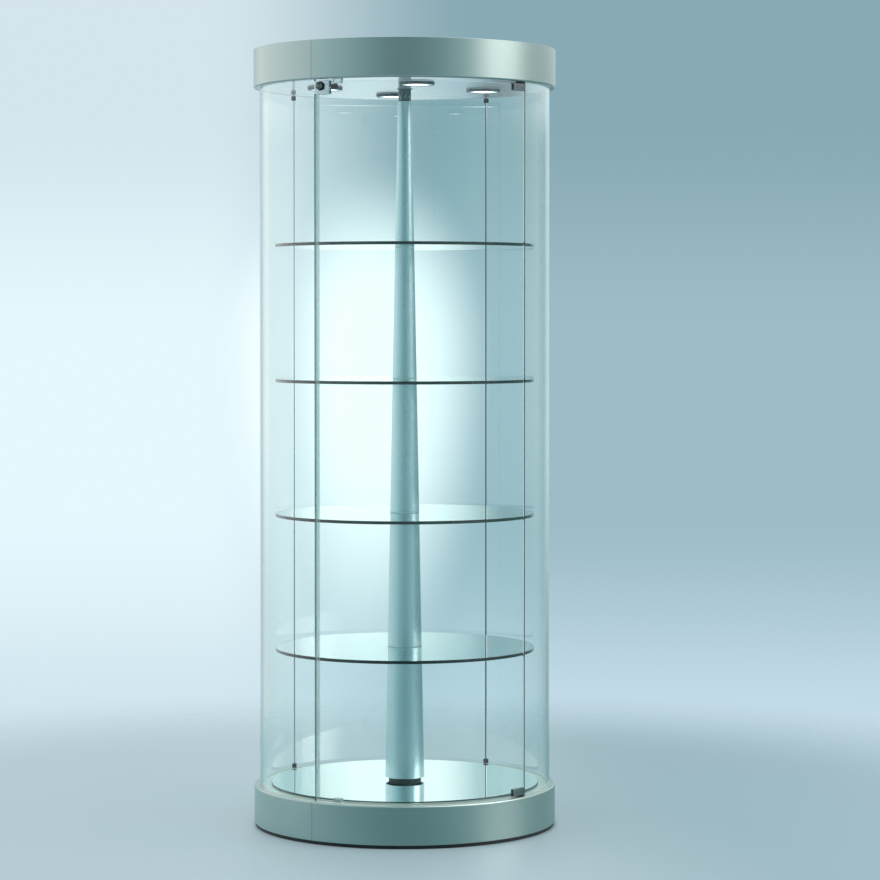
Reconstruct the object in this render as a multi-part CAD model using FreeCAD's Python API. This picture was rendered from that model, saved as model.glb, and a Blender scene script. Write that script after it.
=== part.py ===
import FreeCAD, Part
import math
import os

# Revolving glass display cabinet: a round base and crown joined by curved glass, and a
# tapered column with four round glass shelves that turns on a fixed spindle.
# Millimetres and degrees. The floor is z = 0, Z points up and the spindle stands on the Z axis.
# A bearing is counted round the cabinet from the front, -Y, towards the right, +X.

# ---- outline ----
overall_diameter = 780.0
overall_height = 2000.0
plinth_height = 9.0
plinth_setback = 3.0
base_height = 106.0
crown_height = 98.0
band_wall = 3.0
band_corner_radius = 4.0
lip_reach = 11.0
seam_bearing = -45.0
seam_gap = 0.8

# ---- boards ----
base_board_thickness = 18.0
deck_thickness = 12.0
ledge_height = 10.0
ledge_width = 33.0
ceiling_thickness = 12.0
cover_thickness = 10.0
cover_recess = 3.0
edge_softening = 0.8
rebate_corner = 1.2
board_clearance = 0.5
post_radius = 12.0
post_count = 6
post_setback = 36.0

# ---- glass ----
glass_setback = 15.0
glass_thickness = 6.0
panel_gap = 3.0
base_groove_depth = 5.0
crown_groove_depth = 8.0
groove_clearance = 0.4
strip_thickness = 1.0
mirror_thickness = 6.0
mirror_proud = 5.0
clip_width = 12.0
clip_height = 12.0
clip_wall = 2.0
clip_stand_off = 2.0
glass_grip_gap = 0.2

# ---- shelves and column ----
shelf_count = 4
shelf_thickness = 8.0
shelf_to_glass = 34.0
first_shelf_height = 456.0
shelf_spacing = 347.0
gasket_thickness = 1.0
column_bottom_diameter = 101.0
column_top_diameter = 36.0
column_wall = 2.5
column_end_thickness = 4.0
sleeve_length = 31.0
sleeve_diameter = 32.6
rosette_diameter = 39.0
rosette_thickness = 2.0
clamp_nut_height = 8.0
turning_gap = 1.0

# ---- spindle, bearing and bushes ----
spindle_radius = 10.0
spindle_bore_radius = 7.0
spindle_flange_radius = 35.0
spindle_flange_height = 12.0
spindle_thread_length = 14.0
spindle_nut_width = 30.0
spindle_nut_height = 8.0
washer_radius = 20.0
washer_thickness = 2.0
running_clearance = 0.05
bush_wall = 1.45
bush_length = 20.0
bush_flange = 2.0
core_tube_wall = 2.5
core_tube_foot = 19.0
core_tube_fit = 0.1
race_thickness = 3.0
race_outer_radius = 26.0
ball_radius = 2.85
ball_count = 12
rolling_gap = 0.3
cage_height = 1.6
cage_margin = 0.15
collar_diameter = 84.0
collar_height = 8.0
flange_plate_thickness = 4.0
flange_plate_setback = 2.5

# ---- turning drive ----
gear_module = 1.5
gear_teeth = 80
pinion_teeth = 20
gear_width = 8.0
gear_height_over_board = 39.0
gear_hub_radius = 20.0
gear_hub_height = 8.0
pressure_angle = 20.0
tooth_backlash = 0.16
mesh_clearance = 0.1
motor_bearing = 180.0
motor_radius = 25.0
motor_length = 20.0
motor_shaft_radius = 3.5
motor_boss_radius = 6.0
motor_boss_height = 2.5
bracket_sheet = 2.0
bracket_width = 84.0
bracket_depth = 56.0
bracket_foot = 16.0
bracket_under_gear = 4.0

# ---- supply and leads ----
supply_length = 110.0
supply_width = 62.0
supply_height = 30.0
supply_near_face = 90.0
lead_radius = 2.5
lead_slot_width = 8.0
lead_slot_reach = 62.0
lead_drop_radius = 52.0
lead_height_in_board = 6.0
inlet_width = 28.0
inlet_height = 20.0
inlet_depth = 24.0
inlet_recess_depth = 14.0
inlet_wall = 2.5
inlet_flange_margin = 6.0
inlet_flange_thickness = 3.4
inlet_setback = 2.0
inlet_centre_height = 56.0
inlet_clearance = 0.5
contact_length = 7.0
contact_spacing = 7.0

# ---- lamps ----
lamp_count = 4
lamp_circle_radius = 207.0
lamp_diameter = 90.0
lamp_depth = 6.0
lamp_lens_diameter = 74.0
lamp_body_diameter = 68.0
lamp_body_height = 26.0
lamp_hole_clearance = 1.0
lens_thickness = 2.5
lens_fit = 0.2
junction_length = 50.0
junction_width = 36.0
junction_height = 40.0
junction_near_face = 50.0

# ---- door, hinges and lock ----
door_half_bearing = 45.0
door_bottom_gap = 5.0
door_top_gap = 6.5
pivot_from_edge = 15.0
hinge_width = 46.0
hinge_grip = 16.0
hinge_plate = 3.5
hinge_bridge = 3.0
hinge_pin_radius = 2.5
hinge_pin_length = 10.0
socket_body_radius = 4.5
socket_flange_radius = 12.0
door_part_gap = 0.5
seal_wall = 1.0
seal_grip = 10.0
seal_reach = 1.6
stop_bearing = -35.6
stop_width = 24.0
stop_depth = 13.0
stop_height = 11.0
stop_gap = 0.3
lock_bearing = -41.8
lock_below_crown = 17.0
lock_body_width = 44.0
lock_body_height = 34.0
lock_plate = 4.5
lock_notch_width = 34.0
lock_notch_height = 26.0
lock_barrel_radius = 9.0
lock_barrel_proud = 9.0
lock_barrel_inside = 9.0
plug_radius = 7.0
plug_proud = 0.6
lock_bar_width = 13.0
lock_bar_thickness = 4.0
lock_bar_clearance = 0.3
plug_tail = 3.0
cam_length = 34.0
cam_width = 12.0
cam_thickness = 2.5
cam_screw_radius = 3.0
cam_screw_head = 5.0
cam_slot_clearance = 2.0
key_thickness = 2.0
key_blade_height = 8.0
key_blade_depth = 18.0
key_bow_length = 16.0
key_bow_height = 17.0
key_hole_radius = 2.5
keyway_clearance = 0.1

# ---- screws ----
screw_radius = 2.5
screw_head_radius = 4.5
screw_head_height = 2.5
screw_length = 12.0

# ---- levels and radii that follow ----
outer_radius = overall_diameter / 2
band_inner_radius = outer_radius - band_wall
board_radius = band_inner_radius - board_clearance
lip_inner_radius = outer_radius - lip_reach
lip_fit_radius = lip_inner_radius - board_clearance
glass_outer_radius = outer_radius - glass_setback
glass_inner_radius = glass_outer_radius - glass_thickness
glass_mid_radius = glass_outer_radius - glass_thickness / 2
groove_outer_radius = glass_outer_radius + groove_clearance
groove_inner_radius = glass_inner_radius - groove_clearance
mirror_fit_radius = lip_fit_radius - ledge_width
mirror_radius = mirror_fit_radius - board_clearance
shelf_radius = glass_inner_radius - shelf_to_glass
post_circle_radius = board_radius - post_setback

board_top = plinth_height + base_board_thickness
ledge_floor = base_height - ledge_height
deck_bottom = ledge_floor - deck_thickness
mirror_top = base_height + mirror_proud
mirror_bottom = mirror_top - mirror_thickness
crown_bottom = overall_height - crown_height
ceiling_top = crown_bottom + ceiling_thickness
cover_top = overall_height - cover_recess
cover_bottom = cover_top - cover_thickness

core_tube_bore = spindle_radius + running_clearance + bush_wall
core_tube_radius = core_tube_bore + core_tube_wall
race_inner_radius = core_tube_radius + 2.0
race_pitch_radius = (race_inner_radius + race_outer_radius) / 2
ball_floor = mirror_bottom + race_thickness
upper_race_floor = ball_floor + 2 * ball_radius + rolling_gap
collar_top = mirror_top + collar_height
column_bottom = collar_top + turning_gap
sleeve_bottom = crown_bottom - sleeve_length
clamp_nut_top = sleeve_bottom - turning_gap
column_top = clamp_nut_top - clamp_nut_height
core_tube_bottom = board_top + core_tube_foot
core_tube_top = clamp_nut_top - bush_flange
gear_bottom = board_top + gear_height_over_board
gear_pitch_radius = gear_module * gear_teeth / 2
pinion_pitch_radius = gear_module * pinion_teeth / 2
motor_distance = gear_pitch_radius + pinion_pitch_radius + mesh_clearance
bracket_top = gear_bottom - bracket_under_gear
motor_bottom = bracket_top - bracket_sheet - motor_length

door_bottom = base_height + door_bottom_gap
door_top = crown_bottom - door_top_gap
lock_axis_height = crown_bottom - lock_below_crown
upright = FreeCAD.Vector(0, 0, 1)


# ---- shared shapes ----
def on_bearing(radius, bearing, height):
    """The point at a radius from the spindle, a bearing and a height."""
    angle = math.radians(bearing)
    return FreeCAD.Vector(radius * math.sin(angle), -radius * math.cos(angle), height)


def outward(bearing):
    """The unit vector that points away from the spindle at a bearing."""
    return on_bearing(1.0, bearing, 0.0)


def sideways(bearing):
    """The unit vector along the glass at a bearing, towards larger bearings."""
    return on_bearing(1.0, bearing + 90.0, 0.0)


def arc_angle(length, radius=glass_mid_radius):
    """Degrees of bearing that a length along an arc takes up."""
    return math.degrees(length / radius)


def rounded_edges(points, radii, closed):
    """Straight runs joined by tangent arcs, with a radius for each point and 0 for a sharp one."""
    count = len(points)
    arrive = list(points)
    leave = list(points)
    arcs = {}
    for index in range(count):
        if radii[index] > 0:
            corner = points[index]
            back = (points[index - 1] - corner).normalize()
            ahead = (points[(index + 1) % count] - corner).normalize()
            half_turn = (math.pi - back.getAngle(ahead)) / 2
            trim = radii[index] * math.tan(half_turn)
            reach = radii[index] / math.cos(half_turn) - radii[index]
            arrive[index] = corner + back * trim
            leave[index] = corner + ahead * trim
            middle = corner + (back + ahead).normalize() * reach
            arcs[index] = Part.Arc(arrive[index], middle, leave[index]).toShape()
    edges = []
    for index in range(count if closed else count - 1):
        following = (index + 1) % count
        if index in arcs:
            edges.append(arcs[index])
        edges.append(Part.LineSegment(leave[index], arrive[following]).toShape())
    return edges


def turned(profile, radii=None, start_bearing=0.0, sweep=360.0):
    """A solid turned about the spindle from (radius, height) points."""
    radii = radii or [0.0] * len(profile)
    points = [on_bearing(radius, start_bearing, height) for radius, height in profile]
    face = Part.Face(Part.Wire(rounded_edges(points, radii, True)))
    return face.revolve(FreeCAD.Vector(0, 0, 0), upright, sweep)


def ring(outside, inside, bottom, top):
    """A flat ring or tube on the spindle axis."""
    return turned([(inside, bottom), (outside, bottom), (outside, top), (inside, top)])


def rod(radius, bottom, top, centre=FreeCAD.Vector(0, 0, 0)):
    """An upright round bar."""
    start = FreeCAD.Vector(centre.x, centre.y, bottom)
    return Part.makeCylinder(radius, top - bottom, start, upright)


def sector(outside, inside, bottom, top, first, last):
    """A piece of a ring between two bearings."""
    middle = (first + last) / 2
    outer_arc = Part.Arc(on_bearing(outside, first, bottom), on_bearing(outside, middle, bottom),
                         on_bearing(outside, last, bottom)).toShape()
    inner_arc = Part.Arc(on_bearing(inside, last, bottom), on_bearing(inside, middle, bottom),
                         on_bearing(inside, first, bottom)).toShape()
    last_side = Part.LineSegment(on_bearing(outside, last, bottom),
                                 on_bearing(inside, last, bottom)).toShape()
    first_side = Part.LineSegment(on_bearing(inside, first, bottom),
                                  on_bearing(outside, first, bottom)).toShape()
    face = Part.Face(Part.Wire([outer_arc, last_side, inner_arc, first_side]))
    return face.extrude(upright * (top - bottom))


def block(length, width, height, centre, bearing=0.0):
    """A box centred on a point: length runs outward along the bearing, width runs sideways."""
    box = Part.makeBox(width, length, height, FreeCAD.Vector(-width / 2, -length / 2, -height / 2))
    box.rotate(FreeCAD.Vector(0, 0, 0), upright, bearing)
    box.translate(centre)
    return box


def softened(shape, size, keep):
    """The shape with every edge that keep() accepts rounded."""
    return shape.makeFillet(size, [edge for edge in shape.Edges if keep(edge)])


def is_level_circle(edge, radius):
    """True for a full or part circle of a radius about the spindle."""
    return (isinstance(edge.Curve, Part.Circle) and abs(edge.Curve.Radius - radius) < 1e-4
            and abs(edge.Curve.Axis.z) > 0.99)


def group(shapes):
    """Several separate solids kept in one node."""
    return Part.makeCompound([solid for shape in shapes for solid in shape.Solids])


def lead(points, radius=lead_radius):
    """A round lead through points, with arcs as large as its runs allow."""
    bends = [0.0] * len(points)
    for index in range(1, len(points) - 1):
        before = points[index - 1] - points[index]
        after = points[index + 1] - points[index]
        half_turn = (math.pi - before.getAngle(after)) / 2
        bends[index] = 0.45 * min(before.Length, after.Length) / math.tan(half_turn)
    path = Part.Wire(rounded_edges(points, bends, False))
    start = Part.Circle(points[0], points[1] - points[0], radius).toShape()
    return path.makePipeShell([Part.Wire(start)], True, True)


def screw(head_seat, direction):
    """A pan-head screw whose head sits on a point and whose shank runs along a direction."""
    shank = Part.makeCylinder(screw_radius, screw_length, head_seat, direction)
    head = Part.makeCylinder(screw_head_radius, screw_head_height,
                             head_seat - direction * screw_head_height, direction)
    slot = Part.makeCylinder(screw_radius * 0.6, screw_head_height * 0.6,
                             head_seat - direction * screw_head_height, direction)
    return shank.fuse(head).cut(slot).removeSplitter()


# ---- base ----
def make_plinth():
    return softened(rod(outer_radius - plinth_setback, 0.0, plinth_height), edge_softening,
                    lambda edge: isinstance(edge.Curve, Part.Circle))


def lead_slot():
    """The slot in the base board that takes the feed lead to the foot of the spindle."""
    slot = Part.makeBox(lead_slot_reach, lead_slot_width, base_board_thickness,
                        FreeCAD.Vector(-lead_slot_reach, -lead_slot_width / 2, plinth_height))
    return slot.fuse(rod(spindle_bore_radius + 2.0, plinth_height, board_top))


def make_base_board():
    board = rod(board_radius, plinth_height, board_top).cut(lead_slot())
    for seat, direction in base_screw_seats():
        board = board.cut(Part.makeCylinder(screw_radius, screw_length, seat, direction))
    return board


def make_base_posts():
    return group([rod(post_radius, board_top, deck_bottom, place) for place in post_places()])


def post_places():
    step = 360.0 / post_count
    return [on_bearing(post_circle_radius, step * (index + 0.5), 0.0) for index in range(post_count)]


def band(bottom, top, lip_at_top):
    """A rolled sheet band with its lip turned in at one edge and an open seam."""
    lip_level = top if lip_at_top else bottom
    plain_level = bottom if lip_at_top else top
    lip_under = lip_level - band_wall if lip_at_top else lip_level + band_wall
    profile = [(lip_inner_radius, lip_level), (outer_radius, lip_level), (outer_radius, plain_level),
               (band_inner_radius, plain_level), (band_inner_radius, lip_under),
               (lip_inner_radius, lip_under)]
    inner_bend = band_corner_radius - band_wall
    radii = [0.6, band_corner_radius, 0.6, 0.6, inner_bend, 0.6]
    seam = arc_angle(seam_gap, outer_radius)
    return turned(profile, radii, seam_bearing + seam / 2, 360.0 - seam)


def inlet_window():
    """The opening in the base band for the power inlet."""
    centre = on_bearing(outer_radius, 180.0, inlet_centre_height)
    return block(4 * band_wall, inlet_width + 2 * inlet_clearance, inlet_height + 2 * inlet_clearance,
                 centre)


def make_base_band():
    return band(plinth_height, base_height, True).cut(inlet_window())


def make_base_deck():
    hole = race_inner_radius
    return turned([(hole, deck_bottom), (board_radius, deck_bottom), (board_radius, ledge_floor),
                   (mirror_radius, ledge_floor), (mirror_radius, mirror_bottom),
                   (hole, mirror_bottom)])


def fixed_span():
    """Bearings between which the three fixed panels stand."""
    return door_half_bearing, 360.0 - door_half_bearing


def make_ledge_ring():
    body = turned([(mirror_fit_radius, ledge_floor), (board_radius, ledge_floor),
                   (board_radius, base_height - band_wall), (lip_fit_radius, base_height - band_wall),
                   (lip_fit_radius, base_height), (mirror_fit_radius, base_height)],
                  [0.0, 0.0, rebate_corner, 0.0, edge_softening, edge_softening])
    groove_floor = base_height - base_groove_depth
    first, last = fixed_span()
    body = body.cut(sector(groove_outer_radius, groove_inner_radius, groove_floor,
                           base_height + 1.0, first, last))
    return body.cut(rod(socket_body_radius, ledge_floor, base_height, hinge_place()))


def make_mirror_disc():
    disc = ring(mirror_radius, race_outer_radius + 2.0, mirror_bottom, mirror_top)
    return softened(disc, edge_softening, lambda edge: is_level_circle(edge, mirror_radius))


# ---- crown ----
def cam_slot():
    """The slot in the ceiling that the raised lock cam enters."""
    outside, inside = cam_radii()
    first = lock_bearing - arc_angle(cam_width / 2 + cam_slot_clearance, inside)
    drop = lock_below_crown - cam_width / 2
    reach = math.sqrt(cam_length ** 2 - drop ** 2) + cam_slot_clearance
    last = lock_bearing + arc_angle(reach, inside)
    return sector(outside + cam_slot_clearance, inside - cam_slot_clearance, crown_bottom,
                  ceiling_top, first, last)


def lamp_places():
    step = 360.0 / lamp_count
    return [step * index for index in range(lamp_count)]


def make_ceiling_panel():
    step = crown_bottom + band_wall
    bore = spindle_radius
    panel = turned([(bore, crown_bottom), (lip_fit_radius, crown_bottom), (lip_fit_radius, step),
                    (board_radius, step), (board_radius, ceiling_top), (bore, ceiling_top)],
                   [0.0, 0.0, 0.0, rebate_corner, 0.0, 0.0])
    first, last = fixed_span()
    panel = panel.cut(sector(groove_outer_radius, groove_inner_radius, crown_bottom - 1.0,
                             crown_bottom + crown_groove_depth, first, last))
    for bearing in lamp_places():
        centre = on_bearing(lamp_circle_radius, bearing, 0.0)
        hole = lamp_body_diameter / 2 + lamp_hole_clearance
        panel = panel.cut(rod(hole, crown_bottom, ceiling_top, centre))
    socket_top = crown_bottom + ledge_height
    panel = panel.cut(rod(socket_body_radius, crown_bottom, socket_top, hinge_place()))
    return panel.cut(cam_slot())


def make_crown_posts():
    """Spacer posts under the cover, tapped for its screws."""
    posts = []
    for place in post_places():
        tapping = rod(screw_radius, cover_top - screw_length, cover_bottom, place)
        posts.append(rod(post_radius, ceiling_top, cover_bottom, place).cut(tapping))
    return group(posts)


def make_crown_band():
    return band(crown_bottom, overall_height, False)


def make_crown_cover():
    cover = rod(board_radius, cover_bottom, cover_top)
    cover = softened(cover, edge_softening, lambda edge: isinstance(edge.Curve, Part.Circle)
                     and edge.BoundBox.ZMin > cover_top - 0.1)
    for seat, direction in cover_screw_seats():
        cover = cover.cut(Part.makeCylinder(screw_radius, screw_length, seat, direction))
    return cover


# ---- spindle, bearing and drive ----
def spindle_top():
    return ceiling_top + washer_thickness + spindle_thread_length


def make_spindle_tube():
    return ring(spindle_radius, spindle_bore_radius, board_top, spindle_top())


def make_spindle_flange():
    flange = turned([(spindle_radius, board_top), (spindle_flange_radius, board_top),
                     (spindle_flange_radius, board_top + spindle_flange_height / 2),
                     (spindle_radius * 1.6, board_top + spindle_flange_height / 2),
                     (spindle_radius * 1.6, board_top + spindle_flange_height),
                     (spindle_radius, board_top + spindle_flange_height)],
                    [0.0, 0.0, 1.0, 2.0, 1.0, 0.0])
    for seat in flange_screw_seats():
        flange = flange.cut(rod(screw_radius, board_top, seat.z, seat))
    return flange


def make_spindle_nut():
    """The washer and hexagon nut that pull the crown down on the spindle."""
    washer_top = ceiling_top + washer_thickness
    washer = ring(washer_radius, spindle_radius, ceiling_top, washer_top)
    corner = spindle_nut_width / math.sqrt(3)
    corners = [on_bearing(corner, 60.0 * index, washer_top) for index in range(6)]
    hexagon = Part.Face(Part.Wire(rounded_edges(corners, [0.5] * 6, True)))
    nut = hexagon.extrude(upright * spindle_nut_height)
    return group([washer, nut.cut(rod(spindle_radius, washer_top, washer_top + spindle_nut_height))])


def make_chrome_sleeve():
    return turned([(spindle_radius, sleeve_bottom), (sleeve_diameter / 2, sleeve_bottom),
                   (sleeve_diameter / 2, crown_bottom - rosette_thickness),
                   (rosette_diameter / 2, crown_bottom - rosette_thickness),
                   (rosette_diameter / 2, crown_bottom), (spindle_radius, crown_bottom)],
                  [0.0, 0.8, 0.0, 0.8, 0.0, 0.0])


def make_bearing_collar():
    return turned([(race_outer_radius + 2.5, mirror_top), (collar_diameter / 2, mirror_top),
                   (collar_diameter / 2, collar_top), (race_outer_radius + 2.5, collar_top)],
                  [0.0, 0.0, 1.0, 0.5])


def make_bearing_lower_race():
    return ring(race_outer_radius, race_inner_radius, mirror_bottom, ball_floor)


def make_bearing_upper_race():
    return ring(race_outer_radius, core_tube_radius + core_tube_fit, upper_race_floor,
                upper_race_floor + race_thickness)


def ball_centres():
    step = 360.0 / ball_count
    return [on_bearing(race_pitch_radius, step * index, ball_floor + ball_radius)
            for index in range(ball_count)]


def make_ball_cage():
    """The thrust bearing's balls and the flat cage that spaces them."""
    middle = ball_floor + ball_radius
    cage = ring(race_outer_radius - 1.0, race_inner_radius + 0.6, middle - cage_height / 2,
                middle + cage_height / 2)
    balls = []
    for centre in ball_centres():
        cage = cage.cut(Part.makeSphere(ball_radius + cage_margin, centre))
        balls.append(Part.makeSphere(ball_radius, centre))
    return group([cage] + balls)


def make_core_tube():
    return ring(core_tube_radius, core_tube_bore, core_tube_bottom, core_tube_top)


def make_rotor_bushes():
    """The two flanged bushes that run on the spindle at the ends of the core tube."""
    bore = spindle_radius + running_clearance
    flange = core_tube_radius - 0.5
    lower = turned([(bore, core_tube_bottom - bush_flange), (flange, core_tube_bottom - bush_flange),
                    (flange, core_tube_bottom), (core_tube_bore, core_tube_bottom),
                    (core_tube_bore, core_tube_bottom + bush_length),
                    (bore, core_tube_bottom + bush_length)])
    upper = turned([(bore, core_tube_top - bush_length), (core_tube_bore, core_tube_top - bush_length),
                    (core_tube_bore, core_tube_top), (flange, core_tube_top),
                    (flange, core_tube_top + bush_flange), (bore, core_tube_top + bush_flange)])
    return group([lower, upper])


def make_rotor_flange():
    """The plate on the thrust bearing that carries the column, with a boss into the collar."""
    plate_radius = column_radius(column_bottom) - flange_plate_setback
    boss_bottom = upper_race_floor + race_thickness
    plate_top = column_bottom + flange_plate_thickness
    bore = core_tube_radius + core_tube_fit
    return turned([(bore, boss_bottom), (race_outer_radius, boss_bottom),
                   (race_outer_radius, column_bottom), (plate_radius, column_bottom),
                   (plate_radius, plate_top), (bore, plate_top)],
                  [0.0, 0.5, 0.0, 0.8, 0.8, 0.0])


def tooth_half_angle(radius, teeth):
    """Half the angle of an involute tooth at a radius, in radians."""
    pitch_radius = gear_module * teeth / 2
    base_radius = pitch_radius * math.cos(math.radians(pressure_angle))
    pressure = math.acos(min(1.0, base_radius / max(radius, base_radius)))
    involute = math.tan(pressure) - pressure
    pitch_pressure = math.radians(pressure_angle)
    pitch_involute = math.tan(pitch_pressure) - pitch_pressure
    half_at_pitch = math.pi / (2 * teeth) - tooth_backlash / (2 * pitch_radius)
    return half_at_pitch + pitch_involute - involute


def gear_blank(teeth, bottom, width, first_bearing):
    """A spur gear about the spindle with a tooth at the first bearing."""
    pitch_radius = gear_module * teeth / 2
    base_radius = pitch_radius * math.cos(math.radians(pressure_angle))
    root_radius = pitch_radius - 1.25 * gear_module
    tip_radius = pitch_radius + gear_module
    flank_start = max(root_radius, base_radius)
    flank_radii = [flank_start + (tip_radius - flank_start) * step / 4 for step in range(5)]
    edges = []
    pitch = 360.0 / teeth
    for index in range(teeth):
        centre = first_bearing + pitch * index
        halves = [math.degrees(tooth_half_angle(radius, teeth)) for radius in flank_radii]
        rising = [on_bearing(radius, centre - half, bottom)
                  for radius, half in zip(flank_radii, halves)]
        falling = [on_bearing(radius, centre + half, bottom)
                   for radius, half in zip(flank_radii, halves)]
        falling.reverse()
        foot = halves[0]
        if root_radius < flank_start:
            edges.append(Part.LineSegment(on_bearing(root_radius, centre - foot, bottom),
                                          rising[0]).toShape())
        edges.append(involute_edge(rising))
        edges.append(Part.Arc(rising[-1], on_bearing(tip_radius, centre, bottom),
                              falling[0]).toShape())
        edges.append(involute_edge(falling))
        if root_radius < flank_start:
            edges.append(Part.LineSegment(falling[-1],
                                          on_bearing(root_radius, centre + foot, bottom)).toShape())
        edges.append(Part.Arc(on_bearing(root_radius, centre + foot, bottom),
                              on_bearing(root_radius, centre + pitch / 2, bottom),
                              on_bearing(root_radius, centre + pitch - foot, bottom)).toShape())
    return Part.Face(Part.Wire(edges)).extrude(upright * width)


def involute_edge(points):
    curve = Part.BSplineCurve()
    curve.interpolate(points)
    return curve.toShape()


def make_drive_gear():
    """The gear on the core tube, with a gap between teeth facing the motor."""
    half_pitch = 180.0 / gear_teeth
    gear = gear_blank(gear_teeth, gear_bottom, gear_width, motor_bearing + half_pitch)
    hub = rod(gear_hub_radius, gear_bottom - gear_hub_height, gear_bottom)
    bore = core_tube_radius + core_tube_fit
    gear = gear.fuse(hub).cut(rod(bore, gear_bottom - gear_hub_height, gear_bottom + gear_width))
    step = 60.0
    for index in range(6):
        centre = on_bearing((gear_hub_radius + gear_pitch_radius) / 2, step * index, 0.0)
        gear = gear.cut(rod(gear_pitch_radius / 6, gear_bottom, gear_bottom + gear_width, centre))
    return gear.removeSplitter()


def motor_place():
    return on_bearing(motor_distance, motor_bearing, 0.0)


def make_motor_pinion():
    """The pinion and the motor shaft it is made on, with a tooth facing the spindle."""
    facing = motor_bearing + 180.0
    pinion = gear_blank(pinion_teeth, gear_bottom, gear_width, facing)
    pinion.translate(motor_place())
    shaft = rod(motor_shaft_radius, motor_bottom + bracket_sheet, gear_bottom, motor_place())
    return pinion.fuse(shaft)


def make_gear_motor():
    plate_bottom = bracket_top - bracket_sheet
    can = rod(motor_radius, motor_bottom, plate_bottom, motor_place())
    can = softened(can, 1.5, lambda edge: isinstance(edge.Curve, Part.Circle)
                   and edge.BoundBox.ZMax < motor_bottom + 0.1)
    boss = rod(motor_boss_radius, plate_bottom, bracket_top + motor_boss_height, motor_place())
    bore_radius = motor_shaft_radius + running_clearance
    bore = rod(bore_radius, motor_bottom + bracket_sheet - 0.5, bracket_top + motor_boss_height,
               motor_place())
    return can.fuse(boss).cut(bore).removeSplitter()


def make_motor_bracket():
    """A bent sheet bridge that stands on the base board and carries the motor."""
    half = bracket_width / 2
    outline = [(-half - bracket_foot, board_top), (-half + bracket_sheet, board_top),
               (-half + bracket_sheet, bracket_top - bracket_sheet),
               (half - bracket_sheet, bracket_top - bracket_sheet),
               (half - bracket_sheet, board_top), (half + bracket_foot, board_top),
               (half + bracket_foot, board_top + bracket_sheet), (half, board_top + bracket_sheet),
               (half, bracket_top), (-half, bracket_top), (-half, board_top + bracket_sheet),
               (-half - bracket_foot, board_top + bracket_sheet)]
    centre = motor_place()
    front = centre.y - bracket_depth / 2
    points = [FreeCAD.Vector(centre.x + across, front, height) for across, height in outline]
    face = Part.Face(Part.Wire(rounded_edges(points, [0.0] * len(points), True)))
    sheet = face.extrude(FreeCAD.Vector(0, bracket_depth, 0))
    sheet = sheet.cut(rod(motor_boss_radius, bracket_top - bracket_sheet, bracket_top, centre))
    for seat in bracket_screw_seats():
        sheet = sheet.cut(rod(screw_radius, board_top, seat.z, seat))
    return sheet


# ---- screws ----
def flange_screw_seats():
    radius = (spindle_radius * 1.6 + spindle_flange_radius) / 2
    height = board_top + spindle_flange_height / 2
    return [on_bearing(radius, 90.0 * index + 45.0, height) for index in range(4)]


def bracket_screw_seats():
    centre = motor_place()
    across = (bracket_width + bracket_foot) / 2
    height = board_top + bracket_sheet
    return [FreeCAD.Vector(centre.x + side * across, centre.y + along * bracket_depth / 3, height)
            for side in (-1, 1) for along in (-1, 1)]


def base_screw_seats():
    return [(seat, -upright) for seat in flange_screw_seats() + bracket_screw_seats()]


def cover_screw_seats():
    return [(FreeCAD.Vector(place.x, place.y, cover_top), -upright) for place in post_places()]


def make_pan_screws():
    """The screws in the spindle flange, the motor bracket and the crown cover."""
    return group([screw(seat, direction) for seat, direction in base_screw_seats()
                  + cover_screw_seats()])


# ---- power ----
def inlet_front():
    return outer_radius - inlet_setback


def make_power_inlet():
    """A mains socket behind the band's window, with three flat contacts in its recess."""
    front = inlet_front()
    centre = on_bearing(front - inlet_depth / 2, 180.0, inlet_centre_height)
    body = block(inlet_depth, inlet_width, inlet_height, centre)
    flange_half = inlet_width / 2 + inlet_flange_margin
    curve_rise = flange_half ** 2 / (2 * band_inner_radius)
    flange_middle = band_inner_radius - inlet_clearance / 2 - curve_rise - inlet_flange_thickness / 2
    flange_centre = on_bearing(flange_middle, 180.0, inlet_centre_height)
    body = body.fuse(block(inlet_flange_thickness, inlet_width + 2 * inlet_flange_margin,
                           inlet_height + 2 * inlet_flange_margin, flange_centre))
    recess_centre = on_bearing(front - inlet_recess_depth / 2, 180.0, inlet_centre_height)
    body = body.cut(block(inlet_recess_depth, inlet_width - 2 * inlet_wall,
                          inlet_height - 2 * inlet_wall, recess_centre))
    floor = front - inlet_recess_depth
    for offset in (-1, 0, 1):
        place = on_bearing(floor + contact_length / 2, 180.0, inlet_centre_height)
        place = place + FreeCAD.Vector(offset * contact_spacing, 0, 0)
        body = body.fuse(block(contact_length, 2.0, 4.0, place))
    return body.removeSplitter()


def make_power_supply():
    """The low-voltage supply on the base board, with finned top and end terminals."""
    middle = -supply_near_face - supply_length / 2
    box = Part.makeBox(supply_length, supply_width, supply_height,
                       FreeCAD.Vector(middle - supply_length / 2, -supply_width / 2, board_top))
    box = softened(box, 3.0, lambda edge: abs(edge.tangentAt(edge.FirstParameter).z) > 0.9)
    for index in range(9):
        fin = Part.makeBox(3.0, supply_width - 16.0, 2.0, FreeCAD.Vector(
            middle - 42.0 + index * 10.0, -supply_width / 2 + 8.0, board_top + supply_height - 2.0))
        box = box.cut(fin)
    return box


def feed_lead():
    """The lead from the supply through the spindle to the junction box in the crown."""
    low = plinth_height + lead_height_in_board
    exit_height = board_top + supply_height / 3
    turn_height = spindle_top() + lead_radius * 6
    return lead([FreeCAD.Vector(-supply_near_face, 0, exit_height),
                 FreeCAD.Vector(-lead_drop_radius, 0, exit_height),
                 FreeCAD.Vector(-lead_drop_radius, 0, low), FreeCAD.Vector(0, 0, low),
                 FreeCAD.Vector(0, 0, turn_height),
                 FreeCAD.Vector(junction_near_face, 0, turn_height)])


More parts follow.
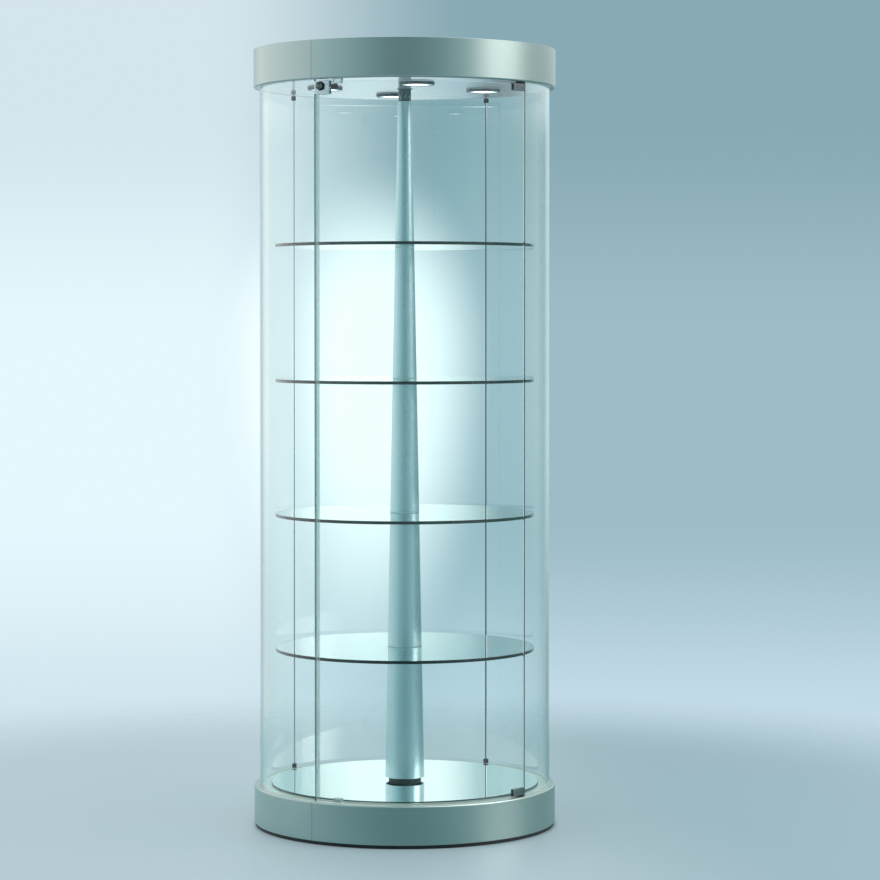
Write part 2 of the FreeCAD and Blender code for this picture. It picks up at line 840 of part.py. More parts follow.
def motor_lead():
    """The lead from the supply to the motor's can."""
    side = supply_width / 3
    height = motor_bottom + motor_length / 2
    low = height - 8.0
    can_face = motor_distance - motor_radius
    approach = can_face - 20.0
    return lead([FreeCAD.Vector(-supply_near_face, side, low),
                 FreeCAD.Vector(-supply_near_face + 35.0, side, low),
                 FreeCAD.Vector(-motor_radius, approach, height), FreeCAD.Vector(0, approach, height),
                 FreeCAD.Vector(0, can_face - 0.1, height)])


def mains_lead():
    """The lead from the inlet's back to the supply."""
    inlet_back = inlet_front() - inlet_depth
    height = board_top + supply_height / 2
    middle = -supply_near_face - supply_length / 2
    return lead([FreeCAD.Vector(0, inlet_back, inlet_centre_height),
                 FreeCAD.Vector(0, inlet_back - 60.0, inlet_centre_height),
                 FreeCAD.Vector(middle, inlet_back - 130.0, height),
                 FreeCAD.Vector(middle, supply_width / 2, height)], lead_radius + 0.5)


def make_supply_leads():
    return group([feed_lead(), motor_lead(), mains_lead()])


def make_junction_box():
    box = Part.makeBox(junction_length, junction_width, junction_height,
                       FreeCAD.Vector(junction_near_face, -junction_width / 2, ceiling_top))
    return softened(box, 2.0, lambda edge: edge.BoundBox.ZMax > ceiling_top + 0.1)


# ---- lamps ----
def lamp_body_top():
    return crown_bottom + lamp_body_height


def at_lamps(shape):
    """A copy of a shape, made on the spindle axis, at each lamp."""
    copies = []
    for bearing in lamp_places():
        copy = shape.copy()
        copy.translate(on_bearing(lamp_circle_radius, bearing, 0.0))
        copies.append(copy)
    return group(copies)


def make_lamp_housings():
    """Round flat lamp housings: a rim under the ceiling and a can through its hole."""
    rim = lamp_diameter / 2
    can = lamp_body_diameter / 2
    lens = lamp_lens_diameter / 2
    rim_bottom = crown_bottom - lamp_depth
    lens_seat = rim_bottom + lens_thickness + 0.5
    well = can - 2.0
    top = lamp_body_top()
    housing = turned([(0.0, top), (0.0, top - 2.0), (well, top - 2.0), (well, lens_seat),
                      (lens, lens_seat), (lens, rim_bottom), (rim, rim_bottom),
                      (rim, crown_bottom), (can, crown_bottom), (can, top)],
                     [0.0, 0.0, 0.0, 0.0, 0.0, 0.6, 2.0, 0.0, 0.0, 2.0])
    return at_lamps(housing)


def make_lamp_lenses():
    rim_bottom = crown_bottom - lamp_depth
    lens_seat = rim_bottom + lens_thickness + 0.5
    lens = rod(lamp_lens_diameter / 2 - lens_fit, lens_seat - lens_thickness, lens_seat)
    return at_lamps(lens)


def make_lamp_leads():
    """The leads that run over the ceiling from the junction box to each lamp's can."""
    leads = []
    height = ceiling_top + 6.0
    top = lamp_body_top()
    side = junction_width / 2
    middle = junction_near_face + junction_length / 2
    can = lamp_body_diameter / 2
    near = lamp_circle_radius - can
    leads.append(lead([FreeCAD.Vector(junction_near_face + junction_length, 0, height),
                       FreeCAD.Vector((junction_near_face + junction_length + near) / 2, 0, height),
                       FreeCAD.Vector(near, 0, height)][::2]))
    for sign in (-1, 1):
        leads.append(lead([FreeCAD.Vector(middle, sign * side, height),
                           FreeCAD.Vector(middle, sign * (side + 60.0), height),
                           FreeCAD.Vector(0, sign * (side + 90.0), height),
                           FreeCAD.Vector(0, sign * near, height)]))
    detour = middle - 14.0
    leads.append(lead([FreeCAD.Vector(detour, -side, height),
                       FreeCAD.Vector(detour, -side - 30.0, height),
                       FreeCAD.Vector(-detour, -side - 30.0, height),
                       FreeCAD.Vector(-detour - 20.0, 0, height),
                       FreeCAD.Vector(-near, 0, height)]))
    return group(leads)


# ---- glass ----
def panel(first, last):
    """A curved fixed panel between two bearings, standing in both grooves."""
    trim = arc_angle(panel_gap / 2)
    bottom = base_height - base_groove_depth + strip_thickness
    top = crown_bottom + crown_groove_depth - strip_thickness
    return sector(glass_outer_radius, glass_inner_radius, bottom, top, first + trim, last - trim)


def glass_room(first, last):
    """The space a grip leaves round the glass between two bearings, a thin pad's width larger."""
    trim = arc_angle(panel_gap / 2 - glass_grip_gap)
    return sector(glass_outer_radius + glass_grip_gap, glass_inner_radius - glass_grip_gap,
                  base_height, crown_bottom, first + trim, last - trim)


def panel_bounds():
    """The bearings at which the three fixed panels meet, in order."""
    first, last = fixed_span()
    step = (last - first) / 3
    return [first + step * index for index in range(4)]


def make_glazing_strips():
    """Setting strips under and over each fixed panel, in the grooves."""
    strips = []
    trim = arc_angle(panel_gap / 2)
    bounds = panel_bounds()
    floor = base_height - base_groove_depth
    roof = crown_bottom + crown_groove_depth
    for first, last in zip(bounds[:-1], bounds[1:]):
        for bottom in (floor, roof - strip_thickness):
            strips.append(sector(glass_outer_radius, glass_inner_radius, bottom,
                                 bottom + strip_thickness, first + trim, last - trim))
    return group(strips)


def make_joint_clips():
    """Small clips that hold neighbouring fixed panels together at the top and bottom."""
    bounds = panel_bounds()
    half = arc_angle(clip_width / 2)
    clips = []
    low = base_height + clip_stand_off
    high = crown_bottom - clip_stand_off - clip_height
    for bearing in bounds[1:3]:
        for bottom in (low, high):
            clip = sector(glass_outer_radius + clip_wall, glass_inner_radius - clip_wall, bottom,
                          bottom + clip_height, bearing - half, bearing + half)
            for first, last in zip(bounds[:-1], bounds[1:]):
                clip = clip.cut(glass_room(first, last))
            clips.append(clip)
    return group(clips)


# ---- column and shelves ----
def column_radius(height):
    """The tapered column's outer radius at a height."""
    share = (height - column_bottom) / (column_top - column_bottom)
    bottom = column_bottom_diameter / 2
    return bottom + (column_top_diameter / 2 - bottom) * share


def shelf_height(index):
    """The height of a shelf's underside, counted from 0 at the lowest."""
    return first_shelf_height + shelf_spacing * index - shelf_thickness / 2


def segment_ends(index):
    """The lower and upper ends of a column segment, counted from 0 at the lowest."""
    plate_top = column_bottom + flange_plate_thickness
    bottom = plate_top if index == 0 else shelf_height(index - 1) + shelf_thickness + gasket_thickness
    top = column_top if index == shelf_count else shelf_height(index) - gasket_thickness
    return bottom, top


def make_column_segment(index):
    """A tapered tube with inward ends that centre it on the core tube."""
    bottom, top = segment_ends(index)
    skirt = column_bottom if index == 0 else bottom
    bore = core_tube_radius + 0.2
    inner_low = bottom + column_end_thickness
    inner_high = top - column_end_thickness
    wall_low = column_radius(inner_low) - column_wall
    wall_high = max(column_radius(inner_high) - column_wall, bore)
    profile = [(bore, bottom)]
    if index == 0:
        lip = column_radius(column_bottom) - flange_plate_setback
        profile += [(lip, bottom), (lip, skirt)]
    profile += [(column_radius(skirt), skirt), (column_radius(top), top), (bore, top)]
    if wall_high > bore:
        profile += [(bore, inner_high), (wall_high, inner_high)]
    profile += [(wall_low, inner_low), (bore, inner_low)]
    return turned(profile)


def make_shelf(index):
    bottom = shelf_height(index)
    shelf = ring(shelf_radius, core_tube_radius + 0.4, bottom, bottom + shelf_thickness)
    return softened(shelf, edge_softening, lambda edge: is_level_circle(edge, shelf_radius))


def make_shelf_gaskets():
    """Clear rings between every shelf and the column ends above and below it."""
    gaskets = []
    for index in range(shelf_count):
        bottom = shelf_height(index)
        for level in (bottom - gasket_thickness, bottom + shelf_thickness):
            gaskets.append(ring(column_radius(level) - 1.0, core_tube_radius + 0.4, level,
                                level + gasket_thickness))
    return group(gaskets)


def make_clamp_nut():
    radius = column_top_diameter / 2
    return turned([(core_tube_radius, column_top), (radius, column_top), (radius, clamp_nut_top),
                   (core_tube_radius, clamp_nut_top)], [0.0, 0.0, 1.0, 0.0])


# ---- door ----
def door_edges():
    """The bearings of the door's lock side and hinge side."""
    trim = arc_angle(panel_gap / 2)
    return trim - door_half_bearing, door_half_bearing - trim


def hinge_place():
    hinge_edge = door_edges()[1]
    return on_bearing(glass_mid_radius, hinge_edge - arc_angle(pivot_from_edge), 0.0)


def make_door_glass():
    first, last = door_edges()
    pane = sector(glass_outer_radius, glass_inner_radius, door_bottom, door_top, first, last)
    notch = sector(glass_outer_radius + 1.0, glass_inner_radius - 1.0,
                   door_top - lock_notch_height, door_top + 1.0, first - 1.0,
                   first + arc_angle(lock_notch_width))
    return pane.cut(notch)


def hinge_clamp(at_top):
    """A clamp over the door's corner with a pivot pin that turns in the socket."""
    last = door_edges()[1]
    first = last - arc_angle(hinge_width)
    glass_end = door_top if at_top else door_bottom
    side = 1.0 if at_top else -1.0
    bridge_end = glass_end + side * hinge_bridge
    grip_end = glass_end - side * hinge_grip
    low, high = min(bridge_end, grip_end), max(bridge_end, grip_end)
    clamp = sector(glass_outer_radius + hinge_plate, glass_inner_radius - hinge_plate, low, high,
                   first, last)
    clamp = softened(clamp, 1.0, lambda edge: abs(edge.tangentAt(edge.FirstParameter).z) > 0.9)
    slot_low, slot_high = min(glass_end, grip_end), max(glass_end, grip_end)
    clamp = clamp.cut(sector(glass_outer_radius + glass_grip_gap, glass_inner_radius - glass_grip_gap,
                             slot_low, slot_high, first - 1.0, last + 1.0))
    pin_end = bridge_end + side * hinge_pin_length
    pin = rod(hinge_pin_radius, min(bridge_end, pin_end), max(bridge_end, pin_end), hinge_place())
    return clamp.fuse(pin)


def make_hinge_clamps():
    return group([hinge_clamp(True), hinge_clamp(False)])


def hinge_socket(at_top):
    """A black flanged bush in the crown or the ledge that the pivot pin turns in."""
    face = crown_bottom if at_top else base_height
    side = 1.0 if at_top else -1.0
    glass_end = door_top if at_top else door_bottom
    flange_end = glass_end + side * (hinge_bridge + door_part_gap)
    body_end = face + side * ledge_height
    bore_end = glass_end + side * (hinge_bridge + hinge_pin_length + door_part_gap)
    centre = hinge_place()
    flange = rod(socket_flange_radius, min(face, flange_end), max(face, flange_end), centre)
    body = rod(socket_body_radius, min(face, body_end), max(face, body_end), centre)
    bore = rod(hinge_pin_radius + running_clearance, min(flange_end, bore_end),
               max(flange_end, bore_end), centre)
    return flange.fuse(body).cut(bore).removeSplitter()


def make_hinge_sockets():
    return group([hinge_socket(True), hinge_socket(False)])


def make_door_edge_seal():
    """A channel strip that grips the door's lock-side edge below the lock."""
    edge = door_edges()[0]
    top = door_top - lock_body_height + hinge_bridge - door_part_gap
    strip = sector(glass_outer_radius + seal_wall, glass_inner_radius - seal_wall, door_bottom, top,
                   edge - arc_angle(seal_reach), edge + arc_angle(seal_grip))
    return strip.cut(sector(glass_outer_radius + glass_grip_gap, glass_inner_radius - glass_grip_gap,
                            door_bottom, top, edge - arc_angle(glass_grip_gap),
                            edge + arc_angle(2 * seal_grip)))


def make_door_stops():
    """Blocks inside the door's free side, under the crown and on the ledge."""
    half = arc_angle(stop_width / 2)
    outside = glass_inner_radius - stop_gap
    stops = []
    for bottom in (base_height, crown_bottom - stop_height):
        stop = sector(outside, outside - stop_depth, bottom, bottom + stop_height,
                      stop_bearing - half, stop_bearing + half)
        stops.append(softened(stop, 1.2,
                              lambda edge: abs(edge.tangentAt(edge.FirstParameter).z) > 0.9))
    return group(stops)


# ---- lock ----
def on_lock_axis(radius):
    return on_bearing(radius, lock_bearing, lock_axis_height)


def barrel_ends():
    """The radii at the outer and inner ends of the lock barrel."""
    return glass_outer_radius + lock_barrel_proud, glass_inner_radius - lock_barrel_inside


def cam_radii():
    """The radii of the cam's outer and inner faces."""
    outside = barrel_ends()[1] - lock_bar_thickness - plug_tail
    return outside, outside - cam_thickness


def lock_cylinder(radius, outside, inside):
    """A round bar along the lock's axis between two radii."""
    return Part.makeCylinder(radius, outside - inside, on_lock_axis(inside), outward(lock_bearing))


def make_lock_body():
    """The lock case that fills the notch in the door's corner and grips it, with its barrel."""
    first = door_edges()[0]
    top = door_top + hinge_bridge
    case = sector(glass_outer_radius + lock_plate, glass_inner_radius - lock_plate,
                  top - lock_body_height, top, first, first + arc_angle(lock_body_width))
    case = softened(case, 1.5, lambda edge: abs(edge.tangentAt(edge.FirstParameter).z) > 0.9)
    outside, inside = barrel_ends()
    notch_end = first + arc_angle(lock_notch_width - glass_grip_gap)
    notch_floor = door_top - lock_notch_height + glass_grip_gap
    room = sector(glass_outer_radius + glass_grip_gap, glass_inner_radius - glass_grip_gap,
                  door_bottom, door_top, first - 1.0, door_half_bearing)
    room = room.cut(sector(outer_radius, shelf_radius, notch_floor, crown_bottom, first - 2.0,
                           notch_end))
    case = case.cut(room)
    case = case.fuse(lock_cylinder(lock_barrel_radius, outside, inside))
    return case.cut(lock_cylinder(plug_radius + running_clearance, outside, inside)).removeSplitter()


def make_lock_bar():
    """The upright bar that backs the lock inside the door."""
    outside = barrel_ends()[1]
    centre = on_bearing(outside - lock_bar_thickness / 2, lock_bearing, door_top + hinge_bridge
                        - lock_body_height / 2)
    bar = block(lock_bar_thickness, lock_bar_width, lock_body_height, centre, lock_bearing)
    bar = softened(bar, 1.0, lambda edge: abs(edge.tangentAt(edge.FirstParameter).z) > 0.9)
    return bar.cut(lock_cylinder(plug_radius + lock_bar_clearance, outside,
                                 outside - lock_bar_thickness))


def keyway(clearance):
    """The flat slot, or the blade that fills it, along the lock's axis."""
    front = barrel_ends()[0] + plug_proud
    centre = on_lock_axis(front - key_blade_depth / 2)
    return block(key_blade_depth, key_thickness + 2 * clearance, key_blade_height + 2 * clearance,
                 centre, lock_bearing)


def make_lock_plug():
    """The turning plug, with its keyway in front and the cam's screw behind."""
    front = barrel_ends()[0] + plug_proud
    cam_outside, cam_inside = cam_radii()
    plug = lock_cylinder(plug_radius, front, cam_outside).cut(keyway(keyway_clearance))
    stub = lock_cylinder(cam_screw_radius, cam_outside, cam_inside)
    head = lock_cylinder(cam_screw_head, cam_inside, cam_inside - screw_head_height)
    return plug.fuse(stub).fuse(head)


def make_lock_cam():
    """The flat cam, which lies along the door at rest and points up when locked."""
    outside, inside = cam_radii()
    across = sideways(lock_bearing)
    middle = on_lock_axis((outside + inside) / 2)
    start = -cam_width / 2
    centre = middle + across * ((start + cam_length) / 2)
    cam = block(cam_thickness, cam_length - start, cam_width, centre, lock_bearing)
    cam = softened(cam, cam_width * 0.45,
                   lambda edge: abs(edge.tangentAt(edge.FirstParameter).dot(outward(lock_bearing))) > 0.9)
    return cam.cut(lock_cylinder(cam_screw_radius, outside, inside))


def make_key():
    front = barrel_ends()[0] + plug_proud
    blade = keyway(0.0)
    centre = on_lock_axis(front + key_bow_length / 2)
    bow = block(key_bow_length, key_thickness, key_bow_height, centre, lock_bearing)
    bow = softened(bow, key_bow_length * 0.4,
                   lambda edge: abs(edge.tangentAt(edge.FirstParameter).dot(sideways(lock_bearing))) > 0.9)
    hole_start = on_lock_axis(front + key_bow_length * 0.62) - sideways(lock_bearing) * key_thickness
    hole = Part.makeCylinder(key_hole_radius, 2 * key_thickness, hole_start, sideways(lock_bearing))
    return blade.fuse(bow).cut(hole).removeSplitter()


# ---- every node ----
def all_nodes():
    """The name and shape of every piece."""
    bounds = panel_bounds()
    nodes = {
        "plinth": make_plinth(),
        "base_board": make_base_board(),
        "base_posts": make_base_posts(),
        "base_band": make_base_band(),
        "base_deck": make_base_deck(),
        "ledge_ring": make_ledge_ring(),
        "mirror_disc": make_mirror_disc(),
        "ceiling_panel": make_ceiling_panel(),
        "crown_posts": make_crown_posts(),
        "crown_band": make_crown_band(),
        "crown_cover": make_crown_cover(),
        "spindle_tube": make_spindle_tube(),
        "spindle_flange": make_spindle_flange(),
        "spindle_nut": make_spindle_nut(),
        "chrome_sleeve": make_chrome_sleeve(),
        "bearing_collar": make_bearing_collar(),
        "bearing_lower_race": make_bearing_lower_race(),
        "bearing_upper_race": make_bearing_upper_race(),
        "ball_cage": make_ball_cage(),
        "core_tube": make_core_tube(),
        "rotor_bushes": make_rotor_bushes(),
        "rotor_flange": make_rotor_flange(),
        "drive_gear": make_drive_gear(),
        "motor_pinion": make_motor_pinion(),
        "gear_motor": make_gear_motor(),
        "motor_bracket": make_motor_bracket(),
        "pan_screws": make_pan_screws(),
        "power_inlet": make_power_inlet(),
        "power_supply": make_power_supply(),
        "supply_leads": make_supply_leads(),
        "junction_box": make_junction_box(),
        "lamp_housings": make_lamp_housings(),
        "lamp_lenses": make_lamp_lenses(),
        "lamp_leads": make_lamp_leads(),
        "glass_right": panel(bounds[0], bounds[1]),
        "glass_back": panel(bounds[1], bounds[2]),
        "glass_left": panel(bounds[2], bounds[3]),
        "glazing_strips": make_glazing_strips(),
        "joint_clips": make_joint_clips(),
        "shelf_gaskets": make_shelf_gaskets(),
        "clamp_nut": make_clamp_nut(),
        "door_glass": make_door_glass(),
        "hinge_clamps": make_hinge_clamps(),
        "hinge_sockets": make_hinge_sockets(),
        "door_edge_seal": make_door_edge_seal(),
        "door_stops": make_door_stops(),
        "lock_body": make_lock_body(),
        "lock_bar": make_lock_bar(),
        "lock_plug": make_lock_plug(),
        "lock_cam": make_lock_cam(),
        "key": make_key(),
    }
    for index in range(shelf_count):
        nodes["shelf_%d" % (index + 1)] = make_shelf(index)
    for index in range(shelf_count + 1):
        nodes["column_segment_%d" % (index + 1)] = make_column_segment(index)
    return nodes


os.makedirs("parts", exist_ok=True)
for name, shape in all_nodes().items():
    if not shape.isValid() or min(solid.Volume for solid in shape.Solids) <= 0:
        raise ValueError("faulty shape: " + name)
    shape.exportStep("parts/" + name + ".step")
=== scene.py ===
import math

import bmesh
import bpy
from mathutils import Matrix, Vector


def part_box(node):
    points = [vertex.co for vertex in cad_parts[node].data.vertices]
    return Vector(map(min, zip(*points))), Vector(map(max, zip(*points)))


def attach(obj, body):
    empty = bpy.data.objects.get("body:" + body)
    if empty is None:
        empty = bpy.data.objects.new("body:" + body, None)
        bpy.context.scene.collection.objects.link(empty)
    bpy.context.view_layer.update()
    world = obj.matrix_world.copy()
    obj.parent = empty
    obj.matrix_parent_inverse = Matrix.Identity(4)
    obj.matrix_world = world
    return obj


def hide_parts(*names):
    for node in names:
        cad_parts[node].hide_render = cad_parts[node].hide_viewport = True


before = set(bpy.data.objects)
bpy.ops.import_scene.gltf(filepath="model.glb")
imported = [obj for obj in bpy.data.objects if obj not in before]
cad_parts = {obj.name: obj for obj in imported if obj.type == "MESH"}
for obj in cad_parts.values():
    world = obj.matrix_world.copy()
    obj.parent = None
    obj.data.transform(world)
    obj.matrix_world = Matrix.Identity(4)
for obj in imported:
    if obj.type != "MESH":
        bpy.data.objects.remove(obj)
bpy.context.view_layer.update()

bl_info = {
    "name": "Revolving glass display cabinet",
    "version": (1, 0, 0),
    "blender": (4, 5, 0),
    "location": "3D View > Sidebar > Cabinet",
    "description": "Builds the glass, fittings and finishes of a round revolving display cabinet",
    "category": "Object",
}

MM = 0.001
GLASS_MID = 372      # radius of the middle of the bent glass, mm
INSIDE = 368.8       # radii of the fittings' faces on the glass, mm: the glass and a thin pad
OUTSIDE = 375.2
DOOR_BEARING = 45    # bearing of the door's edges from the front, degrees
LOCK_BEARING = -41.8
LOCK_HEIGHT = 1885
STOP_BEARING = -35.6
COLUMN_BORE = 0.0142
MIRROR_BORE = 0.028
SHELVES = ("shelf_1", "shelf_2", "shelf_3", "shelf_4")


# ---- places and outlines
def colour(red, green, blue):
    """A colour given as it looks on screen, 0 to 255, in the linear values Blender keeps."""
    parts = [part / 255 for part in (red, green, blue)]
    return (*(p / 12.92 if p <= 0.04045 else ((p + 0.055) / 1.055) ** 2.4 for p in parts), 1)


def on_bearing(radius, bearing, height):
    """A point in metres from a radius and height in mm and a bearing from the front to the right."""
    angle = math.radians(bearing)
    return Vector((radius * math.sin(angle), -radius * math.cos(angle), height)) * MM


def along_glass(bearing):
    """The length along the middle of the glass, in mm, from the front to a bearing."""
    return GLASS_MID * math.radians(bearing)


def bearing_at(along):
    """The bearing at a length along the middle of the glass."""
    return math.degrees(along / GLASS_MID)


def door_reach():
    """The length along the glass from the front to the door's edges, in mm."""
    return along_glass(DOOR_BEARING) - bpy.context.scene.cabinet_sizes.pane_gap / 2 / MM


def heights(node):
    """The heights in metres at which a CAD node begins and ends."""
    low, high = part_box(node)
    return low[2], high[2]


def rounded(points, radii, steps=8):
    """A closed outline whose corners are rounded by their radii."""
    outline = []
    for index, radius in enumerate(radii):
        corner = Vector(points[index])
        if radius <= 0:
            outline.append(corner)
            continue
        before = (Vector(points[index - 1]) - corner).normalized()
        after = (Vector(points[(index + 1) % len(points)]) - corner).normalized()
        half = before.angle(after) / 2
        centre = corner + (before + after).normalized() * (radius / math.sin(half))
        start = corner + before * (radius / math.tan(half)) - centre
        end = corner + after * (radius / math.tan(half)) - centre
        sweep = start.angle_signed(end)
        for step in range(steps + 1):
            outline.append(centre + Matrix.Rotation(-sweep * step / steps, 2) @ start)
    return outline


def rectangle(left, right, bottom, top):
    """The corners of an upright rectangle."""
    return [(left, bottom), (right, bottom), (right, top), (left, top)]


def circle(radius, steps=24, centre=(0, 0)):
    """A round outline."""
    return [(centre[0] + radius * math.cos(math.tau * i / steps),
             centre[1] + radius * math.sin(math.tau * i / steps)) for i in range(steps)]


def facing(bearing, height, reach=0, inward=False):
    """Turns X sideways, Y up and Z outward or inward, at a bearing, a height and a radius in mm."""
    angle = math.radians(bearing)
    sideways = Vector((math.cos(angle), math.sin(angle), 0))
    outward = Vector((math.sin(angle), -math.cos(angle), 0))
    turn = Matrix((sideways, Vector((0, 0, 1)), outward)).transposed().to_4x4()
    place = Matrix.Translation((0, 0, height * MM)) @ turn
    place = place @ Matrix.Translation((0, 0, reach * MM))
    return place @ Matrix.Rotation(math.pi, 4, "X") if inward else place


# ---- meshes
def put(name, data):
    """A new object in the scene."""
    made = bpy.data.objects.new(name, data)
    bpy.context.scene.collection.objects.link(made)
    return made


def plain_mesh(bm):
    """A mesh from a bmesh as it is."""
    mesh = bpy.data.meshes.new("made")
    bm.to_mesh(mesh)
    bm.free()
    return mesh


def closed_mesh(bm):
    """A mesh from a bmesh with its faces pointing outward."""
    bmesh.ops.remove_doubles(bm, verts=bm.verts[:], dist=1e-7)
    bmesh.ops.recalc_face_normals(bm, faces=bm.faces[:])
    return plain_mesh(bm)


def joined_mesh(meshes):
    """Several meshes as one; each keeps its own closed shells."""
    bm = bmesh.new()
    for mesh in meshes:
        bm.from_mesh(mesh)
        bpy.data.meshes.remove(mesh)
    return plain_mesh(bm)


def taken_bmesh(holder):
    """An object's evaluated mesh as a bmesh; the object is removed."""
    graph = bpy.context.evaluated_depsgraph_get()
    mesh = bpy.data.meshes.new_from_object(holder.evaluated_get(graph))
    holder.modifiers.clear()
    bpy.data.objects.remove(holder)
    bm = bmesh.new()
    bm.from_mesh(mesh)
    bpy.data.meshes.remove(mesh)
    return bm


def bent_plate(outline, inner, outer, arris, spacing):
    """A plate cut to an outline of lengths along the glass and heights, bent round the spindle."""
    bm = bmesh.new()
    bm.faces.new([bm.verts.new((point[0], 0, point[1])) for point in outline])
    left = min(point[0] for point in outline)
    right = max(point[0] for point in outline)
    count = max(2, math.ceil((right - left) / spacing))
    for index in range(1, count):
        bmesh.ops.bisect_plane(bm, geom=bm.verts[:] + bm.edges[:] + bm.faces[:], dist=1e-4,
                               plane_co=(left + (right - left) * index / count, 0, 0),
                               plane_no=(1, 0, 0))
    faces = list(bm.faces)
    rim = [tuple(edge.verts) for edge in bm.edges if len(edge.link_faces) == 1]
    far = {vert: bm.verts.new(vert.co + Vector((0, 1, 0))) for vert in list(bm.verts)}
    for face in faces:
        bm.faces.new([far[vert] for vert in reversed(face.verts)])
    for one, other in rim:
        bm.faces.new((one, other, far[other], far[one]))
    for vert in bm.verts:
        radius = outer if vert.co.y > 0.5 else inner
        vert.co = on_bearing(radius, bearing_at(vert.co.x), vert.co.z)
    bmesh.ops.recalc_face_normals(bm, faces=bm.faces[:])
    if arris > 0:
        sharp = [edge for edge in bm.edges if edge.calc_face_angle(0) > math.radians(40)]
        bmesh.ops.bevel(bm, geom=sharp, offset=arris * MM, segments=2, profile=0.5,
                        affect="EDGES", clamp_overlap=True)
    return closed_mesh(bm)


def plate_pair(outline, thickness, arris, spacing):
    """Two plates cut to one outline, on the outer and on the inner face of the glass."""
    return [bent_plate(outline, OUTSIDE, OUTSIDE + thickness, arris, spacing),
            bent_plate(outline, INSIDE - thickness, INSIDE, arris, spacing)]


def between_plates(outline, spacing, overlap=0.05):
    """A web that joins such a pair of plates and reaches a little into both."""
    return bent_plate(outline, INSIDE - overlap, OUTSIDE + overlap, 0, spacing)


def ring_faces(bm, one, other):
    """Faces between two closed rings of points, one of which may be a single point."""
    steps = max(len(one), len(other))
    for step in range(steps):
        after = (step + 1) % steps
        corners = [one[step % len(one)], one[after % len(one)],
                   other[after % len(other)], other[step % len(other)]]
        bm.faces.new(list(dict.fromkeys(corners)))


def turned_mesh(profile, steps, matrix, lobes=()):
    """A profile of radii and heights, in mm, turned into a closed solid and placed by a matrix.

    The rings in lobes get six shallow lobes, as a driver recess has."""
    bm = bmesh.new()
    rings = []
    for index, (radius, height) in enumerate(profile):
        if radius < 1e-6:
            rings.append([bm.verts.new((0, 0, height * MM))])
            continue
        ring = []
        for step in range(steps):
            angle = math.tau * step / steps
            reach = radius * (1 + 0.14 * math.cos(6 * angle)) if index in lobes else radius
            place = Vector((reach * math.cos(angle), reach * math.sin(angle), height)) * MM
            ring.append(bm.verts.new(place))
        rings.append(ring)
    for one, other in zip(rings, rings[1:] + rings[:1]):
        if len(one) > 1 or len(other) > 1:
            ring_faces(bm, one, other)
    bm.transform(matrix)
    return closed_mesh(bm)


def button(radius, proud, matrix):
    """The small head of a set screw with its driver recess, standing on a face along +Z."""
    profile = [(0, proud * 0.2), (radius * 0.42, proud * 0.2), (radius * 0.5, proud),
               (radius * 0.86, proud), (radius, proud * 0.6), (radius, -0.3), (0, -0.3)]
    return turned_mesh(profile, 24, matrix, lobes=(1, 2))


def button_pair(radius, proud, bearing, height, depth):
    """Such heads on the outer and the inner plate of a pair, at a depth over the glass."""
    return [button(radius, proud, facing(bearing, height, OUTSIDE + depth)),
            button(radius, proud, facing(bearing, height, INSIDE - depth, True))]


def cut_plate(outlines, thickness, softening, matrix):
    """A flat plate with holes, in mm, centred on its thickness and placed by a matrix."""
    shape = bpy.data.curves.new("outline", "CURVE")
    shape.dimensions = "2D"
    shape.fill_mode = "BOTH"
    shape.extrude = (thickness / 2 - softening) * MM
    shape.bevel_depth = softening * MM
    shape.bevel_resolution = 1
    shape.offset = -softening * MM
    for outline in outlines:
        spline = shape.splines.new("POLY")
        spline.points.add(len(outline) - 1)
        for point, place in zip(spline.points, outline):
            point.co = (place[0] * MM, place[1] * MM, 0, 1)
        spline.use_cyclic_u = True
    bm = taken_bmesh(put("outline", shape))
    bpy.data.curves.remove(shape)
    bm.transform(matrix)
    return closed_mesh(bm)


def add_piece(name, mesh, body, slot, nodes, soft_below=13, look=None):
    """Puts a finished mesh in the scene on its body, with its finish, for the nodes it stands for.

    Edges that turn by less than soft_below degrees are shaded smooth, so flats stay flat. A look
    is a finish of its own for a piece whose slot it shares with others."""
    mesh.name = name
    mesh.materials.clear()
    mesh.materials.append(finish(look or slot))
    mesh.shade_smooth()
    mesh.set_sharp_from_angle(angle=math.radians(soft_below))
    piece = put(name, mesh)
    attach(piece, body)
    if nodes:
        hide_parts(*nodes)


